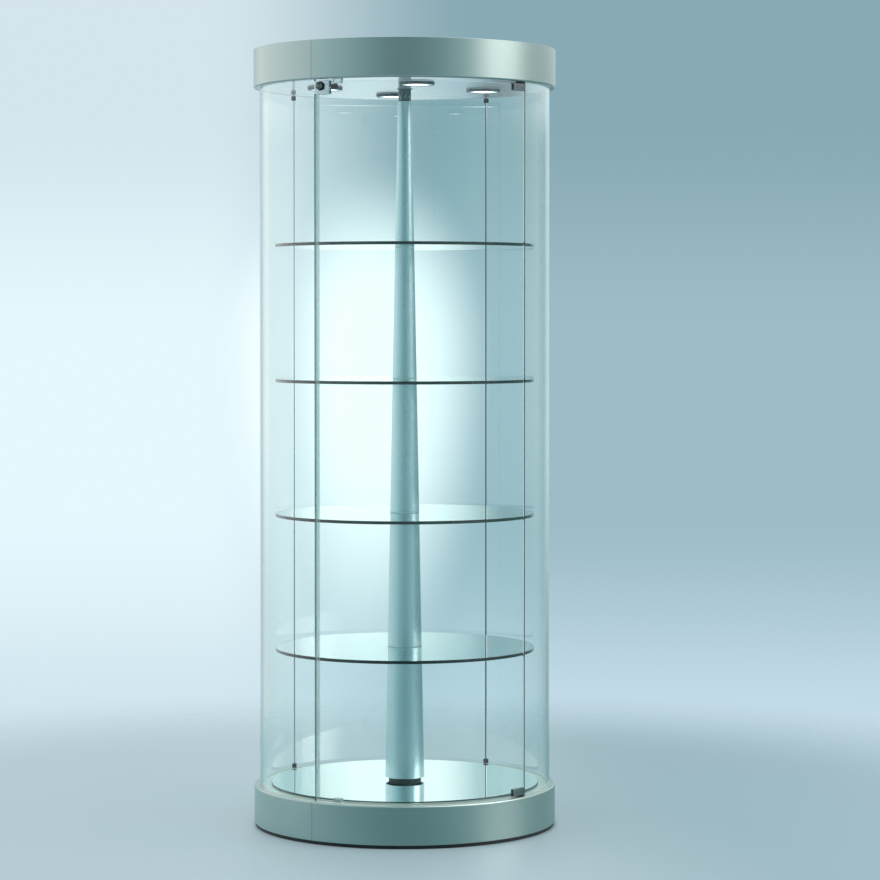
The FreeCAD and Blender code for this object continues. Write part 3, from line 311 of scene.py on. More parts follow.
# ---- node trees
class Kit:
    """Adds nodes to a tree: the type, then its settings, then what its sockets take."""

    def __init__(self, tree):
        self.tree = tree

    def add(self, kind, sockets=None, **settings):
        node = self.tree.nodes.new(kind)
        for key, value in settings.items():
            if key == "stops":
                self.set_stops(node.color_ramp, value)
            else:
                setattr(node, key, value)
        for key, value in (sockets or {}).items():
            self.feed(self.socket(node.inputs, key), value)
        return node

    @staticmethod
    def set_stops(ramp, stops):
        while len(ramp.elements) < len(stops):
            ramp.elements.new(1)
        for element, (position, value) in zip(ramp.elements, stops):
            element.position = position
            element.color = value

    @staticmethod
    def socket(sockets, key):
        """A socket by its number, its identifier or its name."""
        if isinstance(key, int):
            return sockets[key]
        for socket in sockets:
            if socket.identifier == key:
                return socket
        return sockets[key]

    def feed(self, socket, value):
        """Gives a socket a value, or a link from a number, a socket or a node's first output.

        Three values at a colour socket are a colour as it looks on screen, 0 to 255."""
        if isinstance(value, Number):
            value = value.source
        if isinstance(value, bpy.types.Node):
            value = value.outputs[0]
        if isinstance(value, bpy.types.NodeSocket):
            self.tree.links.new(value, socket)
        elif socket.type == "RGBA" and len(value) == 3:
            socket.default_value = colour(*value)
        else:
            socket.default_value = value

    def number(self, node, key=0):
        """A node's output as a number that can be added, multiplied and so on."""
        return Number(self, self.socket(node.outputs, key))

    def ease(self, value, start, end):
        """0 up to one value and 1 past the other, whichever is larger, with a soft run between."""
        return self.number(self.add("ShaderNodeMapRange",
                                    {"Value": value, "From Min": start, "From Max": end},
                                    interpolation_type="SMOOTHSTEP"))

    def vector(self, operation, *values):
        """A Vector Math node; its number comes out for lengths, distances and products."""
        node = self.add("ShaderNodeVectorMath", dict(enumerate(values)), operation=operation)
        if operation in ("DOT_PRODUCT", "LENGTH", "DISTANCE"):
            return self.number(node, "Value")
        return node.outputs["Vector"]

    def axis(self, vector, letter):
        return self.number(self.add("ShaderNodeSeparateXYZ", {0: vector}), letter)

    def blend(self, mask, first, second, mode="MIX"):
        """One colour where the mask is 0 and another where it is 1."""
        node = self.add("ShaderNodeMix", {"Factor_Float": mask, "A_Color": first, "B_Color": second},
                        data_type="RGBA", blend_type=mode)
        return self.socket(node.outputs, "Result_Color")

    def mix(self, mask, first, second):
        """One shader where the mask is 0 and another where it is 1."""
        return self.add("ShaderNodeMixShader", {0: mask, 1: first, 2: second})

    def is_ray(self, *kinds):
        """1 for rays of any of these kinds."""
        path = self.add("ShaderNodeLightPath")
        found = self.number(path, "Is %s Ray" % kinds[0])
        for kind in kinds[1:]:
            found = found.most(self.number(path, "Is %s Ray" % kind))
        return found

    def mirrored(self):
        """1 for what is seen in a reflection, and 0 for what is seen straight or through glass."""
        return self.number(self.add("ShaderNodeLightPath"), "Glossy Depth").least(1)


def both_ways(operation):
    """An operator and its reflected form, each of which adds a Math node."""
    return (lambda self, other: self.math(operation, self, other),
            lambda self, other: self.math(operation, other, self))


class Number:
    """A number socket that adds a Math node for each operator used on it."""

    def __init__(self, kit, source):
        self.kit = kit
        self.source = source

    def math(self, operation, *values):
        values = {i: v if isinstance(v, Number) else float(v) for i, v in enumerate(values)}
        return self.kit.number(self.kit.add("ShaderNodeMath", values, operation=operation))

    __add__, __radd__ = both_ways("ADD")
    __sub__, __rsub__ = both_ways("SUBTRACT")
    __mul__, __rmul__ = both_ways("MULTIPLY")
    __truediv__, __rtruediv__ = both_ways("DIVIDE")

    def __abs__(self):
        return self.math("ABSOLUTE", self)

    def most(self, other):
        return self.math("MAXIMUM", self, other)

    def least(self, other):
        return self.math("MINIMUM", self, other)

    def sine(self):
        return self.math("SINE", self)

    def root(self):
        return self.math("SQRT", self)


class Finish(Kit):
    """A material built from nodes on Object coordinates."""

    def __init__(self, name):
        self.material = bpy.data.materials.new(name)
        self.material.use_nodes = True
        self.material.node_tree.nodes.clear()
        super().__init__(self.material.node_tree)
        coordinates = self.add("ShaderNodeTexCoord")
        self.place = coordinates.outputs["Object"]
        self.facing = coordinates.outputs["Normal"]

    def level(self):
        """The place without its height."""
        return self.vector("MULTIPLY", self.place, (1, 1, 0))

    def noise(self, scale, detail, stretch=None):
        """Soft noise, from 0 to 1, with its features 1 / scale metres apart on each axis."""
        place = self.place
        if stretch:
            place = self.add("ShaderNodeMapping", {"Vector": place, "Scale": stretch})
        return self.number(self.add("ShaderNodeTexNoise", {
            "Vector": place, "Scale": scale, "Detail": detail}), "Fac")

    def cells(self, scale):
        """The distance to the nearest of many points 1 / scale metres apart."""
        node = self.add("ShaderNodeTexVoronoi", {"Vector": self.place, "Scale": scale})
        return self.number(node, "Distance")

    def specks(self, scale, size):
        """Small round specks, 1 at their middles."""
        return self.ease(self.cells(scale), size, size * 0.5)

    def surface(self, tint, roughness, bump, more=None):
        """A surface shader, with a bump's height, strength and distance, and more of its sockets."""
        normal = self.add("ShaderNodeBump", dict(zip(("Height", "Strength", "Distance"), bump)))
        return self.add("ShaderNodeBsdfPrincipled", {
            "Base Color": tint, "Roughness": roughness, "Normal": normal, **(more or {})})

    def end(self, surface, more=None):
        self.add("ShaderNodeOutputMaterial", {"Surface": surface, **(more or {})})
        return self.material

    def end_clear(self, body, tint, more=None):
        """Ends in a clear body that lets light for shadows and soft bounces straight through."""
        clear = self.add("ShaderNodeBsdfTransparent", {"Color": tint})
        return self.end(self.mix(self.is_ray("Shadow", "Diffuse"), body, clear), more)


# ---- finishes
def satin_paint(name, shade, light, metallic, roughness, coat):
    """Sprayed satin metal paint: fine flake, a soft cloud of tone and a faint orange peel."""
    paint = Finish(name)
    cloud = paint.noise(2.2, 3)
    flake = paint.noise(1500, 1)
    rub = paint.ease(paint.noise(14, 5, (1, 1, 0.25)), 0.52, 0.74)
    return paint.end(paint.surface(
        paint.blend(cloud * 0.4 + flake * 0.6, shade, light),
        roughness + cloud * 0.07 + flake * 0.04 + rub * 0.012,
        (paint.noise(240, 2) + flake * 0.25, 0.05, 0.0005),
        {"Metallic": metallic, "Coat Weight": coat, "Coat Roughness": 0.14}))


def gloss_lacquer(name, shade, light, roughness, coat):
    """Smooth gloss lacquer on board, with a faint wave and a little dust in its corners."""
    lacquer = Finish(name)
    cloud = lacquer.noise(3, 4)
    dust = lacquer.specks(420, 0.16) * lacquer.ease(lacquer.noise(7, 3), 0.5, 0.75)
    return lacquer.end(lacquer.surface(
        lacquer.blend(cloud * 0.8 + dust * 0.2, light, shade),
        roughness + cloud * 0.06 + dust * 0.2, (lacquer.noise(38, 2), 0.015, 0.001),
        {"Coat Weight": coat, "Coat Roughness": 0.05}))


def black_board(name):
    """Black painted board with an open, slightly fibrous face."""
    board = Finish(name)
    fibre = board.noise(300, 4, (1, 1, 3))
    scuff = board.ease(board.noise(26, 6), 0.6, 0.76)
    return board.end(board.surface(
        board.blend(fibre * 0.6 + scuff * 0.4, (10, 12, 13), (34, 38, 40)),
        0.42 + fibre * 0.2, (fibre, 0.2, 0.0004)))


def birch_board(name):
    """Raw birch ply: pale, grained on its faces, with its plies showing on the cut edges."""
    ply = 0.0029
    board = Finish(name)
    grain = board.noise(60, 5, (0.12, 1.6, 1))
    pores = board.noise(420, 3, (0.2, 1.5, 1))
    plies = board.ease((board.axis(board.place, "Z") * (math.tau / ply)).sine(), -0.25, 0.25)
    edge = plies * board.ease(abs(board.axis(board.facing, "Z")), 0.7, 0.4)
    face = board.blend(grain * 0.7 + pores * 0.3, (222, 198, 160), (178, 146, 104))
    return board.end(board.surface(
        board.blend(edge * 0.55, face, (128, 92, 60)),
        0.62 + pores * 0.15, (grain + edge * 0.4, 0.25, 0.0005)))


def powder_grey(name):
    """Fine-textured grey powder coat."""
    coat = Finish(name)
    grit = coat.noise(900, 2)
    return coat.end(coat.surface(
        coat.blend(coat.noise(4, 3) * 0.5 + grit * 0.5, (150, 158, 160), (178, 186, 188)),
        0.5 + grit * 0.12, (grit, 0.3, 0.0005)))


def silvered_mirror(name):
    """Thick mirror glass: silvered face, dark ground edge and painted back."""
    mirror = Finish(name)
    silvered = mirror.ease(mirror.axis(mirror.facing, "Z"), 0.8, 0.97)
    wipe = mirror.noise(9, 5, (1, 0.35, 1))
    dust = mirror.specks(260, 0.1) * mirror.ease(mirror.noise(5, 2), 0.45, 0.7)
    ground = mirror.blend(mirror.noise(700, 2), (14, 40, 36), (38, 78, 70))
    face = mirror.blend(wipe, (232, 246, 243), (240, 250, 248))
    return mirror.end(mirror.surface(
        mirror.blend(silvered, ground, face), 0.34 - silvered * 0.33 + wipe * 0.02 + dust * 0.12,
        (mirror.noise(4, 1), 0.01, 0.001), {"Metallic": silvered}))


def clear_glass(name, face, edge, deep, density, level):
    """Clear float glass, darker in its thickness, with a ground and polished edge.

    level is True for flat shelves, whose edge is where the surface faces sideways, and False
    for panes bent round the spindle, whose edge is where it stops facing the spindle."""
    glass = Finish(name)
    if level:
        flat = abs(glass.axis(glass.facing, "Z"))
    else:
        spoke = glass.vector("NORMALIZE", glass.level())
        flat = abs(glass.vector("DOT_PRODUCT", spoke, glass.facing))
    cut = glass.ease(flat, 0.9, 0.55)
    wipe = glass.noise(5, 5, (1, 1, 0.4))
    body = glass.surface(
        glass.blend(cut, glass.blend(wipe, face, (255, 255, 255)), edge),
        cut * 0.12 + wipe * 0.004, (glass.noise(2.2, 1), 0.015, 0.002),
        {"IOR": 1.5, "Transmission Weight": 1})
    depth = glass.add("ShaderNodeVolumeAbsorption", {"Color": deep, "Density": density})
    return glass.end_clear(body, (252, 254, 253), {"Volume": depth})


def clear_plastic(name, tint, haze):
    """Clear, slightly milky flexible plastic with long, faint drawing lines."""
    plastic = Finish(name)
    flow = plastic.noise(30, 2, (1, 1, 0.04))
    body = plastic.surface(
        plastic.blend(flow, tint, (250, 253, 252)), haze + flow * 0.05,
        (flow, 0.03, 0.0005), {"IOR": 1.49, "Transmission Weight": 0.92})
    return plastic.end_clear(body, (214, 224, 222))


def bare_metal(name, shade, light, roughness, stretch=None, wear=0.06):
    """Machined or plated metal, with tool lines along one direction and light handling marks."""
    metal = Finish(name)
    lines = metal.noise(700, 3, stretch)
    handled = metal.ease(metal.noise(60, 5), 0.5, 0.72)
    return metal.end(metal.surface(
        metal.blend(lines * 0.6 + handled * 0.4, light, shade),
        roughness + lines * 0.05 + handled * wear, (lines, 0.06, 0.0002), {"Metallic": 1}))


def moulded_plastic(name, shade, light, roughness, grit=1100):
    """Moulded plastic with a fine spark-eroded texture."""
    plastic = Finish(name)
    texture = plastic.noise(grit, 2)
    cloud = plastic.noise(20, 4)
    return plastic.end(plastic.surface(
        plastic.blend(cloud * 0.6 + texture * 0.4, shade, light),
        roughness + texture * 0.14 + cloud * 0.05, (texture, 0.16, 0.0003)))


def lit_lens(name):
    """A frosted lens, lit from behind, brightest at its middle and finely pebbled."""
    lens = Finish(name)
    flat = lens.level()
    away = [lens.vector("DISTANCE", flat, tuple(place)) for place in lamp_places()]
    reach = away[0].least(away[1]).least(away[2]).least(away[3])
    rim = lens.ease(reach, 0.016, 0.031)
    pebble = lens.cells(520)
    return lens.end(lens.surface(
        lens.blend(rim, (250, 252, 252), (226, 234, 236)), 0.42 + pebble * 0.1,
        (pebble, 0.25, 0.0004),
        {"Emission Color": lens.blend(rim, (255, 255, 252), (118, 130, 134)),
         "Emission Strength": 3.2}))


def make_finish(slot):
    """The material for one of the record's slots, or for a look of its own."""
    shades = bpy.context.scene.cabinet_colours
    makers = {
        "band_silver": (satin_paint, shades.band_shade, shades.band_light, 0.92, 0.25, 0.15),
        "column_satin": (satin_paint, shades.column_shade, shades.column_light, 0.82, 0.21, 0.1),
        "ledge_cream": (gloss_lacquer, (206, 212, 200), shades.ledge, 0.2, 0.6),
        "ceiling_white": (gloss_lacquer, (224, 218, 226), shades.ceiling, 0.12, 0.5),
        "panel_glass": (clear_glass, shades.glass_face, shades.glass_edge, shades.glass_depth,
                        17, False),
        "shelf_glass": (clear_glass, shades.glass_face, shades.shelf_edge, shades.shelf_depth,
                        16, True),
        "clear_pvc": (clear_plastic, (196, 222, 220), 0.06),
        "stop_clear": (clear_plastic, (214, 228, 226), 0.1),
        "spindle_steel": (bare_metal, (150, 154, 156), (190, 194, 196), 0.3,
                          (1, 1, 0.05)),
        "bearing_steel": (bare_metal, (170, 172, 174), (212, 214, 216), 0.16),
        "bright_chrome": (bare_metal, (88, 98, 100), (132, 142, 144), 0.08, None, 0.05),
        "plate_chrome": (bare_metal, (176, 188, 192), (214, 224, 228), 0.1),
        "rim_chrome": (bare_metal, (84, 90, 92), (122, 128, 130), 0.14),
        "dark_metal": (bare_metal, (34, 38, 40), (66, 72, 74), 0.34, (1, 1, 0.1), 0.12),
        "key_nickel": (bare_metal, (172, 170, 164), (214, 212, 206), 0.2,
                       (0.2, 1, 1), 0.14),
        "bush_bronze": (bare_metal, (150, 104, 62), (196, 146, 92), 0.3, (1, 1, 0.1)),
        "motor_zinc": (bare_metal, (150, 154, 154), (186, 190, 190), 0.38),
        "screw_steel": (bare_metal, (160, 162, 160), (206, 208, 206), 0.26),
        "ring_milky": (moulded_plastic, (168, 198, 200), (190, 214, 216), 0.3),
        "black_plastic": (moulded_plastic, (16, 18, 19), (38, 41, 43), 0.42),
        "gear_white": (moulded_plastic, (222, 220, 210), (238, 237, 230), 0.36, 500),
        "supply_grey": (moulded_plastic, (92, 96, 98), (124, 128, 130), 0.46),
        "lead_black": (moulded_plastic, (14, 15, 16), (34, 36, 38), 0.5, 300),
        "board_black": (black_board,),
        "board_raw": (birch_board,),
        "cover_grey": (powder_grey,),
        "mirror_glass": (silvered_mirror,),
        "lens_frost": (lit_lens,),
    }
    maker, *values = makers[slot]
    return maker(slot + "_finish", *values)


def finish(slot):
    """A slot's material, made once."""
    return bpy.data.materials.get(slot + "_finish") or make_finish(slot)


# ---- geometry trees
class Shape(Kit):
    """A Geometry Nodes tree with named inputs that ends in plain geometry with a material."""

    def __init__(self, name, inputs):
        super().__init__(bpy.data.node_groups.new(name, "GeometryNodeTree"))
        face = self.tree.interface
        face.new_socket("Geometry", in_out="OUTPUT", socket_type="NodeSocketGeometry")
        for label, kind in {"Geometry": "Geometry", **inputs, "Material": "Material"}.items():
            face.new_socket(label, in_out="INPUT", socket_type="NodeSocket" + kind)
        self.given = self.add("NodeGroupInput").outputs

    def size(self, label):
        return Number(self, self.given[label])

    def end(self, geometry):
        real = self.add("GeometryNodeRealizeInstances", {0: geometry})
        made = self.add("GeometryNodeSetMaterial", {0: real, "Material": self.given["Material"]})
        self.add("NodeGroupOutput", {0: made})
        return self.tree


def ring_tree(name, arc):
    """A ring with a bore, straight or tapered, or an arc of one, whose long edges are eased."""
    lengths = ["Bore Radius", "Bottom Radius", "Top Radius", "Bottom", "Top", "Edge Softening"]
    turns = ["Start Angle", "Sweep Angle"] if arc else []
    shape = Shape(name, {**dict.fromkeys(lengths + turns, "Float"), "Steps": "Int"})
    bore, foot, head, bottom, top, softening = [shape.size(label) for label in lengths]
    path = (bore + foot) * 0.5
    corners = [(bore, bottom), (foot, bottom), (head, top), (bore, top)]
    points = {"Point %d" % (i + 1): shape.add("ShaderNodeCombineXYZ", {0: radius - path, 1: up * -1})
              for i, (radius, up) in enumerate(corners)}
    sharp = shape.add("GeometryNodeCurvePrimitiveQuadrilateral", points, mode="POINTS")
    section = shape.add("GeometryNodeFilletCurve", {0: sharp, "Count": 3, "Radius": softening,
                                                    "Limit Radius": True}, mode="POLY")
    line = shape.add("GeometryNodeCurveArc" if arc else "GeometryNodeCurvePrimitiveCircle",
                     {"Resolution": shape.given["Steps"], "Radius": path,
                      **{label: shape.given[label] for label in turns}}, mode="RADIUS")
    return shape.end(shape.add("GeometryNodeCurveToMesh", {
        "Curve": line, "Profile Curve": section, "Fill Caps": arc}))


def copies_tree(name):
    """A copy of one fitting at every point, each turned about its own upright by chance."""
    shape = Shape(name, {"Fitting": "Object", "Turn": "Float", "Seed": "Int"})
    model = shape.add("GeometryNodeObjectInfo", {"Object": shape.given["Fitting"]})
    chance = shape.add("FunctionNodeRandomValue", {
        "Max_001": shape.size("Turn"), "Seed": shape.given["Seed"]}, data_type="FLOAT")
    turn = shape.add("ShaderNodeCombineXYZ", {2: shape.socket(chance.outputs, "Value_001")})
    return shape.end(shape.add("GeometryNodeInstanceOnPoints", {
        "Points": shape.given["Geometry"], "Instance": model.outputs["Geometry"],
        "Rotation": turn}))


def grown_mesh(group, values, start=None):
    """The plain mesh that a tree makes from its named inputs and a starting mesh."""
    holder = put(group.name, start or bpy.data.meshes.new(group.name))
    modifier = holder.modifiers.new(group.name, "NODES")
    modifier.node_group = group
    for item in group.interface.items_tree:
        if item.in_out == "INPUT" and item.name in values:
            modifier[item.identifier] = values[item.name]
    bm = taken_bmesh(holder)
    if not bm.faces:
        raise RuntimeError("nothing was made by " + group.name)
    return closed_mesh(bm)


def ring_mesh(radii, levels, softening, steps, slot, arc=()):
    """A ring from its bore, foot and head radii and its two heights, or an arc of one, in metres."""
    name = "Bent pane" if arc else "Eased ring"
    group = bpy.data.node_groups.get(name) or ring_tree(name, bool(arc))
    values = {"Edge Softening": softening, "Steps": steps, "Material": finish(slot),
              **dict(zip(("Bore Radius", "Bottom Radius", "Top Radius"), radii)),
              **dict(zip(("Bottom", "Top"), levels)),
              **dict(zip(("Start Angle", "Sweep Angle"), arc))}
    return grown_mesh(group, values)


def copies_mesh(fitting, places, turn, seed, slot):
    """Copies of one mesh at several points, in metres."""
    name = "Fittings at places"
    group = bpy.data.node_groups.get(name) or copies_tree(name)
    points = bpy.data.meshes.new("places")
    points.from_pydata([tuple(place) for place in places], [], [])
    model = put("model", fitting)
    made = grown_mesh(group, {"Fitting": model, "Turn": turn, "Seed": seed,
                              "Material": finish(slot)}, points)
    bpy.data.objects.remove(model)
    bpy.data.meshes.remove(fitting)
    return made


# ---- sizes and colours
def length(label, description, default):
    return bpy.props.FloatProperty(name=label, description=description, default=default,
                                   min=0.0, subtype="DISTANCE", unit="LENGTH")


def shade(label, description, default):
    return bpy.props.FloatVectorProperty(name=label, description=description, default=default,
                                         size=4, min=0.0, max=1.0, subtype="COLOR")


class CabinetSizes(bpy.types.PropertyGroup):
    """Sizes that the pieces are made to."""

    shelf_radius: length("Shelf radius", "Outer radius of the round shelves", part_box("shelf_1")[1][0])
    shelf_softening: length("Shelf edge", "Rounding of the shelves' ground edges", 0.0008)
    mirror_softening: length("Mirror edge", "Rounding of the mirror floor's edge", 0.0006)
    column_foot_radius: length("Column foot radius", "Radius of the column where it starts", 0.0505)
    column_head_radius: length("Column head radius", "Radius of the column where it ends", 0.018)
    column_softening: length("Column edge", "Rounding of the ends of the column's lengths", 0.0006)
    core_bore: length("Shelf bore", "Radius of the hole through shelves and rings", 0.0144)
    glass_inner_radius: length("Glass inner radius", "Inner radius of the bent panes", 0.369)
    glass_outer_radius: length("Glass outer radius", "Outer radius of the bent panes", 0.375)
    pane_softening: length("Pane edge", "Rounding of the panes' polished edges", 0.0007)
    pane_gap: length("Pane gap", "Gap between neighbouring panes", 0.003)
    lamp_circle: length("Lamp circle", "Radius of the circle that the lamps stand on", 0.207)
    floor_radius: length("Floor radius", "Radius of the studio floor", 3.4)
    round_steps: bpy.props.IntProperty(name="Round steps", default=192, min=24, max=512,
                                       description="Sides of the shelves, column and panes")


class CabinetColours(bpy.types.PropertyGroup):
    """Colours of the finishes and the studio."""

    band_shade: shade("Band, shaded", "Darker tone of the band paint", colour(158, 179, 176))
    band_light: shade("Band, light", "Lighter tone of the band paint", colour(187, 204, 201))
    column_shade: shade("Column, shaded", "Darker tone of the column paint", colour(186, 214, 220))
    column_light: shade("Column, light", "Lighter tone of the column paint", colour(208, 232, 238))
    ledge: shade("Ledge", "Lacquer of the ledge ring", colour(236, 238, 224))
    ceiling: shade("Ceiling", "Lacquer of the ceiling", colour(246, 231, 238))
    glass_face: shade("Glass face", "Tint of the glass faces", colour(253, 255, 254))
    glass_edge: shade("Glass edge", "Tint of the panes' polished edges", colour(18, 66, 66))
    shelf_edge: shade("Shelf edge", "Tint of the shelves' ground edges", colour(24, 84, 82))
    glass_depth: shade("Glass depth", "What a thick piece of the panes lets through",
                       (0.53, 0.94, 0.92, 1))
    shelf_depth: shade("Shelf depth", "What a thick piece of the shelves lets through",
                       (0.5, 0.85, 0.82, 1))
    floor: shade("Floor", "Studio floor", colour(190, 208, 217))
    backdrop: shade("Backdrop", "Studio backdrop on its lighter side", colour(230, 247, 254))
    backdrop_shade: shade("Backdrop, shaded", "Studio backdrop on its darker side", colour(136, 170, 180))


# ---- studio
CAMERA_TURN = math.radians(-8.5)    # the camera's azimuth, and its place and aim from there
CAMERA_DISTANCE = 7.534
CAMERA_HEIGHT = 1.317
CAMERA_PITCH = math.radians(1.4)
CAMERA_YAW = math.radians(0.695)
FOCAL_PIXELS = 2907.9
CENTRE_ROW = 386.59
FRAME_PIXELS = 880
SENSOR = 36
AHEAD = Vector((-math.sin(CAMERA_TURN), math.cos(CAMERA_TURN), 0))
RIGHT = Vector((AHEAD.y, -AHEAD.x, 0))


def studio_light(name, place, aim_height, size, watts, tint):
    """A soft square light that faces the cabinet's axis at a height."""
    lamp = bpy.data.lights.new(name, "AREA")
    lamp.shape = "SQUARE"
    lamp.size = size
    lamp.energy = watts
    lamp.color = tint
    holder = put(name, lamp)
    holder.location = place
    aim = Vector((0, 0, aim_height)) - place
    holder.rotation_euler = aim.to_track_quat("-Z", "Y").to_euler()
    holder.visible_camera = False
    holder.visible_glossy = False
    holder.visible_transmission = False


def floor_finish(shades):
    """A pale satin floor that fades into the backdrop at its rim, with painted shade darker towards the
    right, and darker still where it is mirrored, as painted shade in its reflections.
    """
    floor = Finish("studio_floor_finish")
    ease = floor.ease
    blend = floor.blend
    cloud = floor.noise(0.9, 3)
    reach = floor.vector("LENGTH", floor.level())
    aside = floor.axis(floor.place, "X")
    ahead = floor.axis(floor.place, "Y")
    # Painted shade: besides its random tone, the floor's colour darkens towards the right, where shade
    # falls on it.
    floor_tone_with_painted_shade = blend(ease(aside, 0, 0.9), blend(cloud, shades.floor, (198, 215, 223)), (160, 187, 196))
    # Painted shade in reflections: where the floor is mirrored, its colour is darkened, most in front and
    # on the right.
    front = ease(ahead, -0.14, -0.68) * ease(ahead, -2, -1.3)
    front = front * (1 - ease(aside, 0.04, 0.28) * 0.6)
    sides = blend(ease(aside, -0.3, 0.3), (0.72, 0.92, 0.9, 1), (0.44, 0.66, 0.65, 1))
    reflected_floor_painted_darker = blend(1, floor_tone_with_painted_shade, blend(front, sides, (0.27, 0.48, 0.46, 1)), "MULTIPLY")
    surface = floor.surface(blend(floor.mirrored(), floor_tone_with_painted_shade, reflected_floor_painted_darker), 0.36 + cloud * 0.08,
                            (floor.noise(60, 3), 0.02, 0.001), {"Specular IOR Level": 0.35})
    gone = floor.add("ShaderNodeBsdfTransparent")
    return floor.end(floor.mix(ease(reach, 1.3, 2.7), surface, gone))


def seen_wall(sky, shades, across, rise, along, glow):
    """The backdrop that the camera sees: pale on the left, darker on the right, lit in the middle."""
    ease = sky.ease
    blend = sky.blend
    near_floor = ease(rise, -0.15, -0.065)
    near_top = ease(rise, -0.01, 0.07)
    light_side = blend(near_top, blend(near_floor, (206, 227, 237), shades.backdrop), (213, 229, 237))
    dark_side = blend(near_top, blend(near_floor, (199, 223, 236), (157, 188, 200)),
                      shades.backdrop_shade)
    wall = blend(ease(across, -0.07, 0.025), light_side, dark_side)
    lit_wall = blend(glow, wall, (1.1, 1.24, 1.27, 1))
    strip = ease(abs(across + 0.004), 0.042, 0.016)
    upper = blend(strip, (176, 206, 212), (1.1, 1.2, 1.2, 1))
    whole_wall = blend(ease(rise, 0.12, 0.155), lit_wall, upper)
    return blend(ease(along, 0.945, 0.976), (196, 213, 220), whole_wall)


def mirrored_room(sky, seen, low, across, rise, along, wide):
    """What glass, chrome and paint reflect: the backdrop, darker sides and a few soft lights."""
    ease = sky.ease
    blend = sky.blend
    middle = ease(rise, -0.12, -0.07) * ease(rise, 0.06, 0.02)
    turn = sky.add("ShaderNodeValToRGB", {"Fac": along * 0.5 + middle * 0.08 + 0.5}, stops=[
        (0, (0.075, 0.17, 0.18, 1)), (0.1, (0.32, 0.49, 0.52, 1)),
        (0.25, (0.56, 0.7, 0.74, 1)), (0.6, (1, 1.02, 1.02, 1)), (0.9, (1.15, 1.14, 1.13, 1))])
    around = blend(ease(along, 0.8, 0.95), turn.outputs["Color"], seen)
    around = blend(low, around, (172, 196, 206))
    right_shade = ease(across, 0.05, 0.55) * (0.35 + ease(along, -0.8, 0.1) * 0.61)
    right_shade = right_shade * (1 - ease(rise, 0.055, 0.08) * 0.8)
    left_shade = ease(0 - across, 0.1, 0.7) * (ease(rise, -0.03, -0.1) * 0.4)
    sides = (right_shade + left_shade) * ease(along, 0.99, 0.95)
    around = blend(sides, around, (0.16, 0.3, 0.32, 1))
    grazed = ease(across, 0.12, 0.2) * ease(across, 0.56, 0.42)
    grazed = grazed * ease(along, 0.78, 0.86) * ease(rise, -0.13, -0.03)
    around = blend(grazed * 0.3, around, (1.3, 1.55, 1.55, 1))
    lifted = (rise - 0.058) / 0.075
    sheen = ease((wide * wide + lifted * lifted).root(), 1.6, 0.4) * 0.85 * ease(along, 0.8, 0.95)
    around = blend(sheen, around, (1.4, 1.62, 1.58, 1))
    under = ease(across, 0.025, 0.04) * ease(across, 0.08, 0.05) * ease(rise, -0.035, -0.07)
    around = blend(under * ease(along, 0.9, 0.97), around, (0.06, 0.12, 0.13, 1))
    box = ease(along, -0.65, -0.3) * ease(along, 0.3, -0.05)
    box = box * ease(across, 0, 0.5) * ease(rise, 0.085, 0.125)
    return blend(box, around, (3.6, 3.4, 3.3, 1))


def build_world(shades):
    """An even light all round, with the backdrop where it is seen, mirrored or looked through."""
    world = bpy.data.worlds.new("studio")
    bpy.context.scene.world = world
    world.use_nodes = True
    world.node_tree.nodes.clear()
    sky = Kit(world.node_tree)
    way = sky.add("ShaderNodeTexCoord").outputs["Generated"]
    along = sky.vector("DOT_PRODUCT", way, tuple(AHEAD))
    across = sky.vector("DOT_PRODUCT", way, tuple(RIGHT))
    rise = sky.axis(way, "Z")
    wide = (across + 0.0125) / 0.04
    above = rise + 0.013
    tall = above.most(0) / 0.05 + above.least(0) / 0.086
    glow = sky.ease((wide * wide + tall * tall).root(), 1.36, 0.42)
    low = sky.ease(rise, -0.13, -0.2)
    seen = sky.blend(low, seen_wall(sky, shades, across, rise, along, glow), shades.floor)
    room = mirrored_room(sky, seen, low, across, rise, along, wide)
    shown = sky.blend(sky.mirrored(), seen, room)
    open_light = sky.blend(sky.ease(across, 0.1, 0.85), (236, 242, 244), (122, 142, 149))
    even = sky.add("ShaderNodeBackground", {"Color": open_light, "Strength": 0.98})
    backdrop = sky.add("ShaderNodeBackground", {"Color": shown, "Strength": 1})
    looked = sky.is_ray("Camera", "Glossy", "Transmission")
    sky.add("ShaderNodeOutputWorld", {"Surface": sky.mix(looked, even, backdrop)})


def build_camera():
    """The camera at the cabinet's three-quarter front, level and a little right of the spindle."""
    ahead = AHEAD.copy()
    ahead.rotate(Matrix.Rotation(-CAMERA_YAW, 3, "Z"))
    aim = ahead * math.cos(CAMERA_PITCH) - Vector((0, 0, math.sin(CAMERA_PITCH)))
    lens = bpy.data.cameras.new("camera")
    lens.sensor_fit = "HORIZONTAL"
    lens.sensor_width = SENSOR
    lens.lens = FOCAL_PIXELS / FRAME_PIXELS * SENSOR
    lens.shift_y = (CENTRE_ROW - FRAME_PIXELS / 2) / FRAME_PIXELS
    lens.clip_end = 100
    holder = put("camera", lens)
    holder.location = AHEAD * -CAMERA_DISTANCE
    holder.location.z = CAMERA_HEIGHT
    holder.rotation_euler = aim.to_track_quat("-Z", "Y").to_euler()
    bpy.context.scene.camera = holder


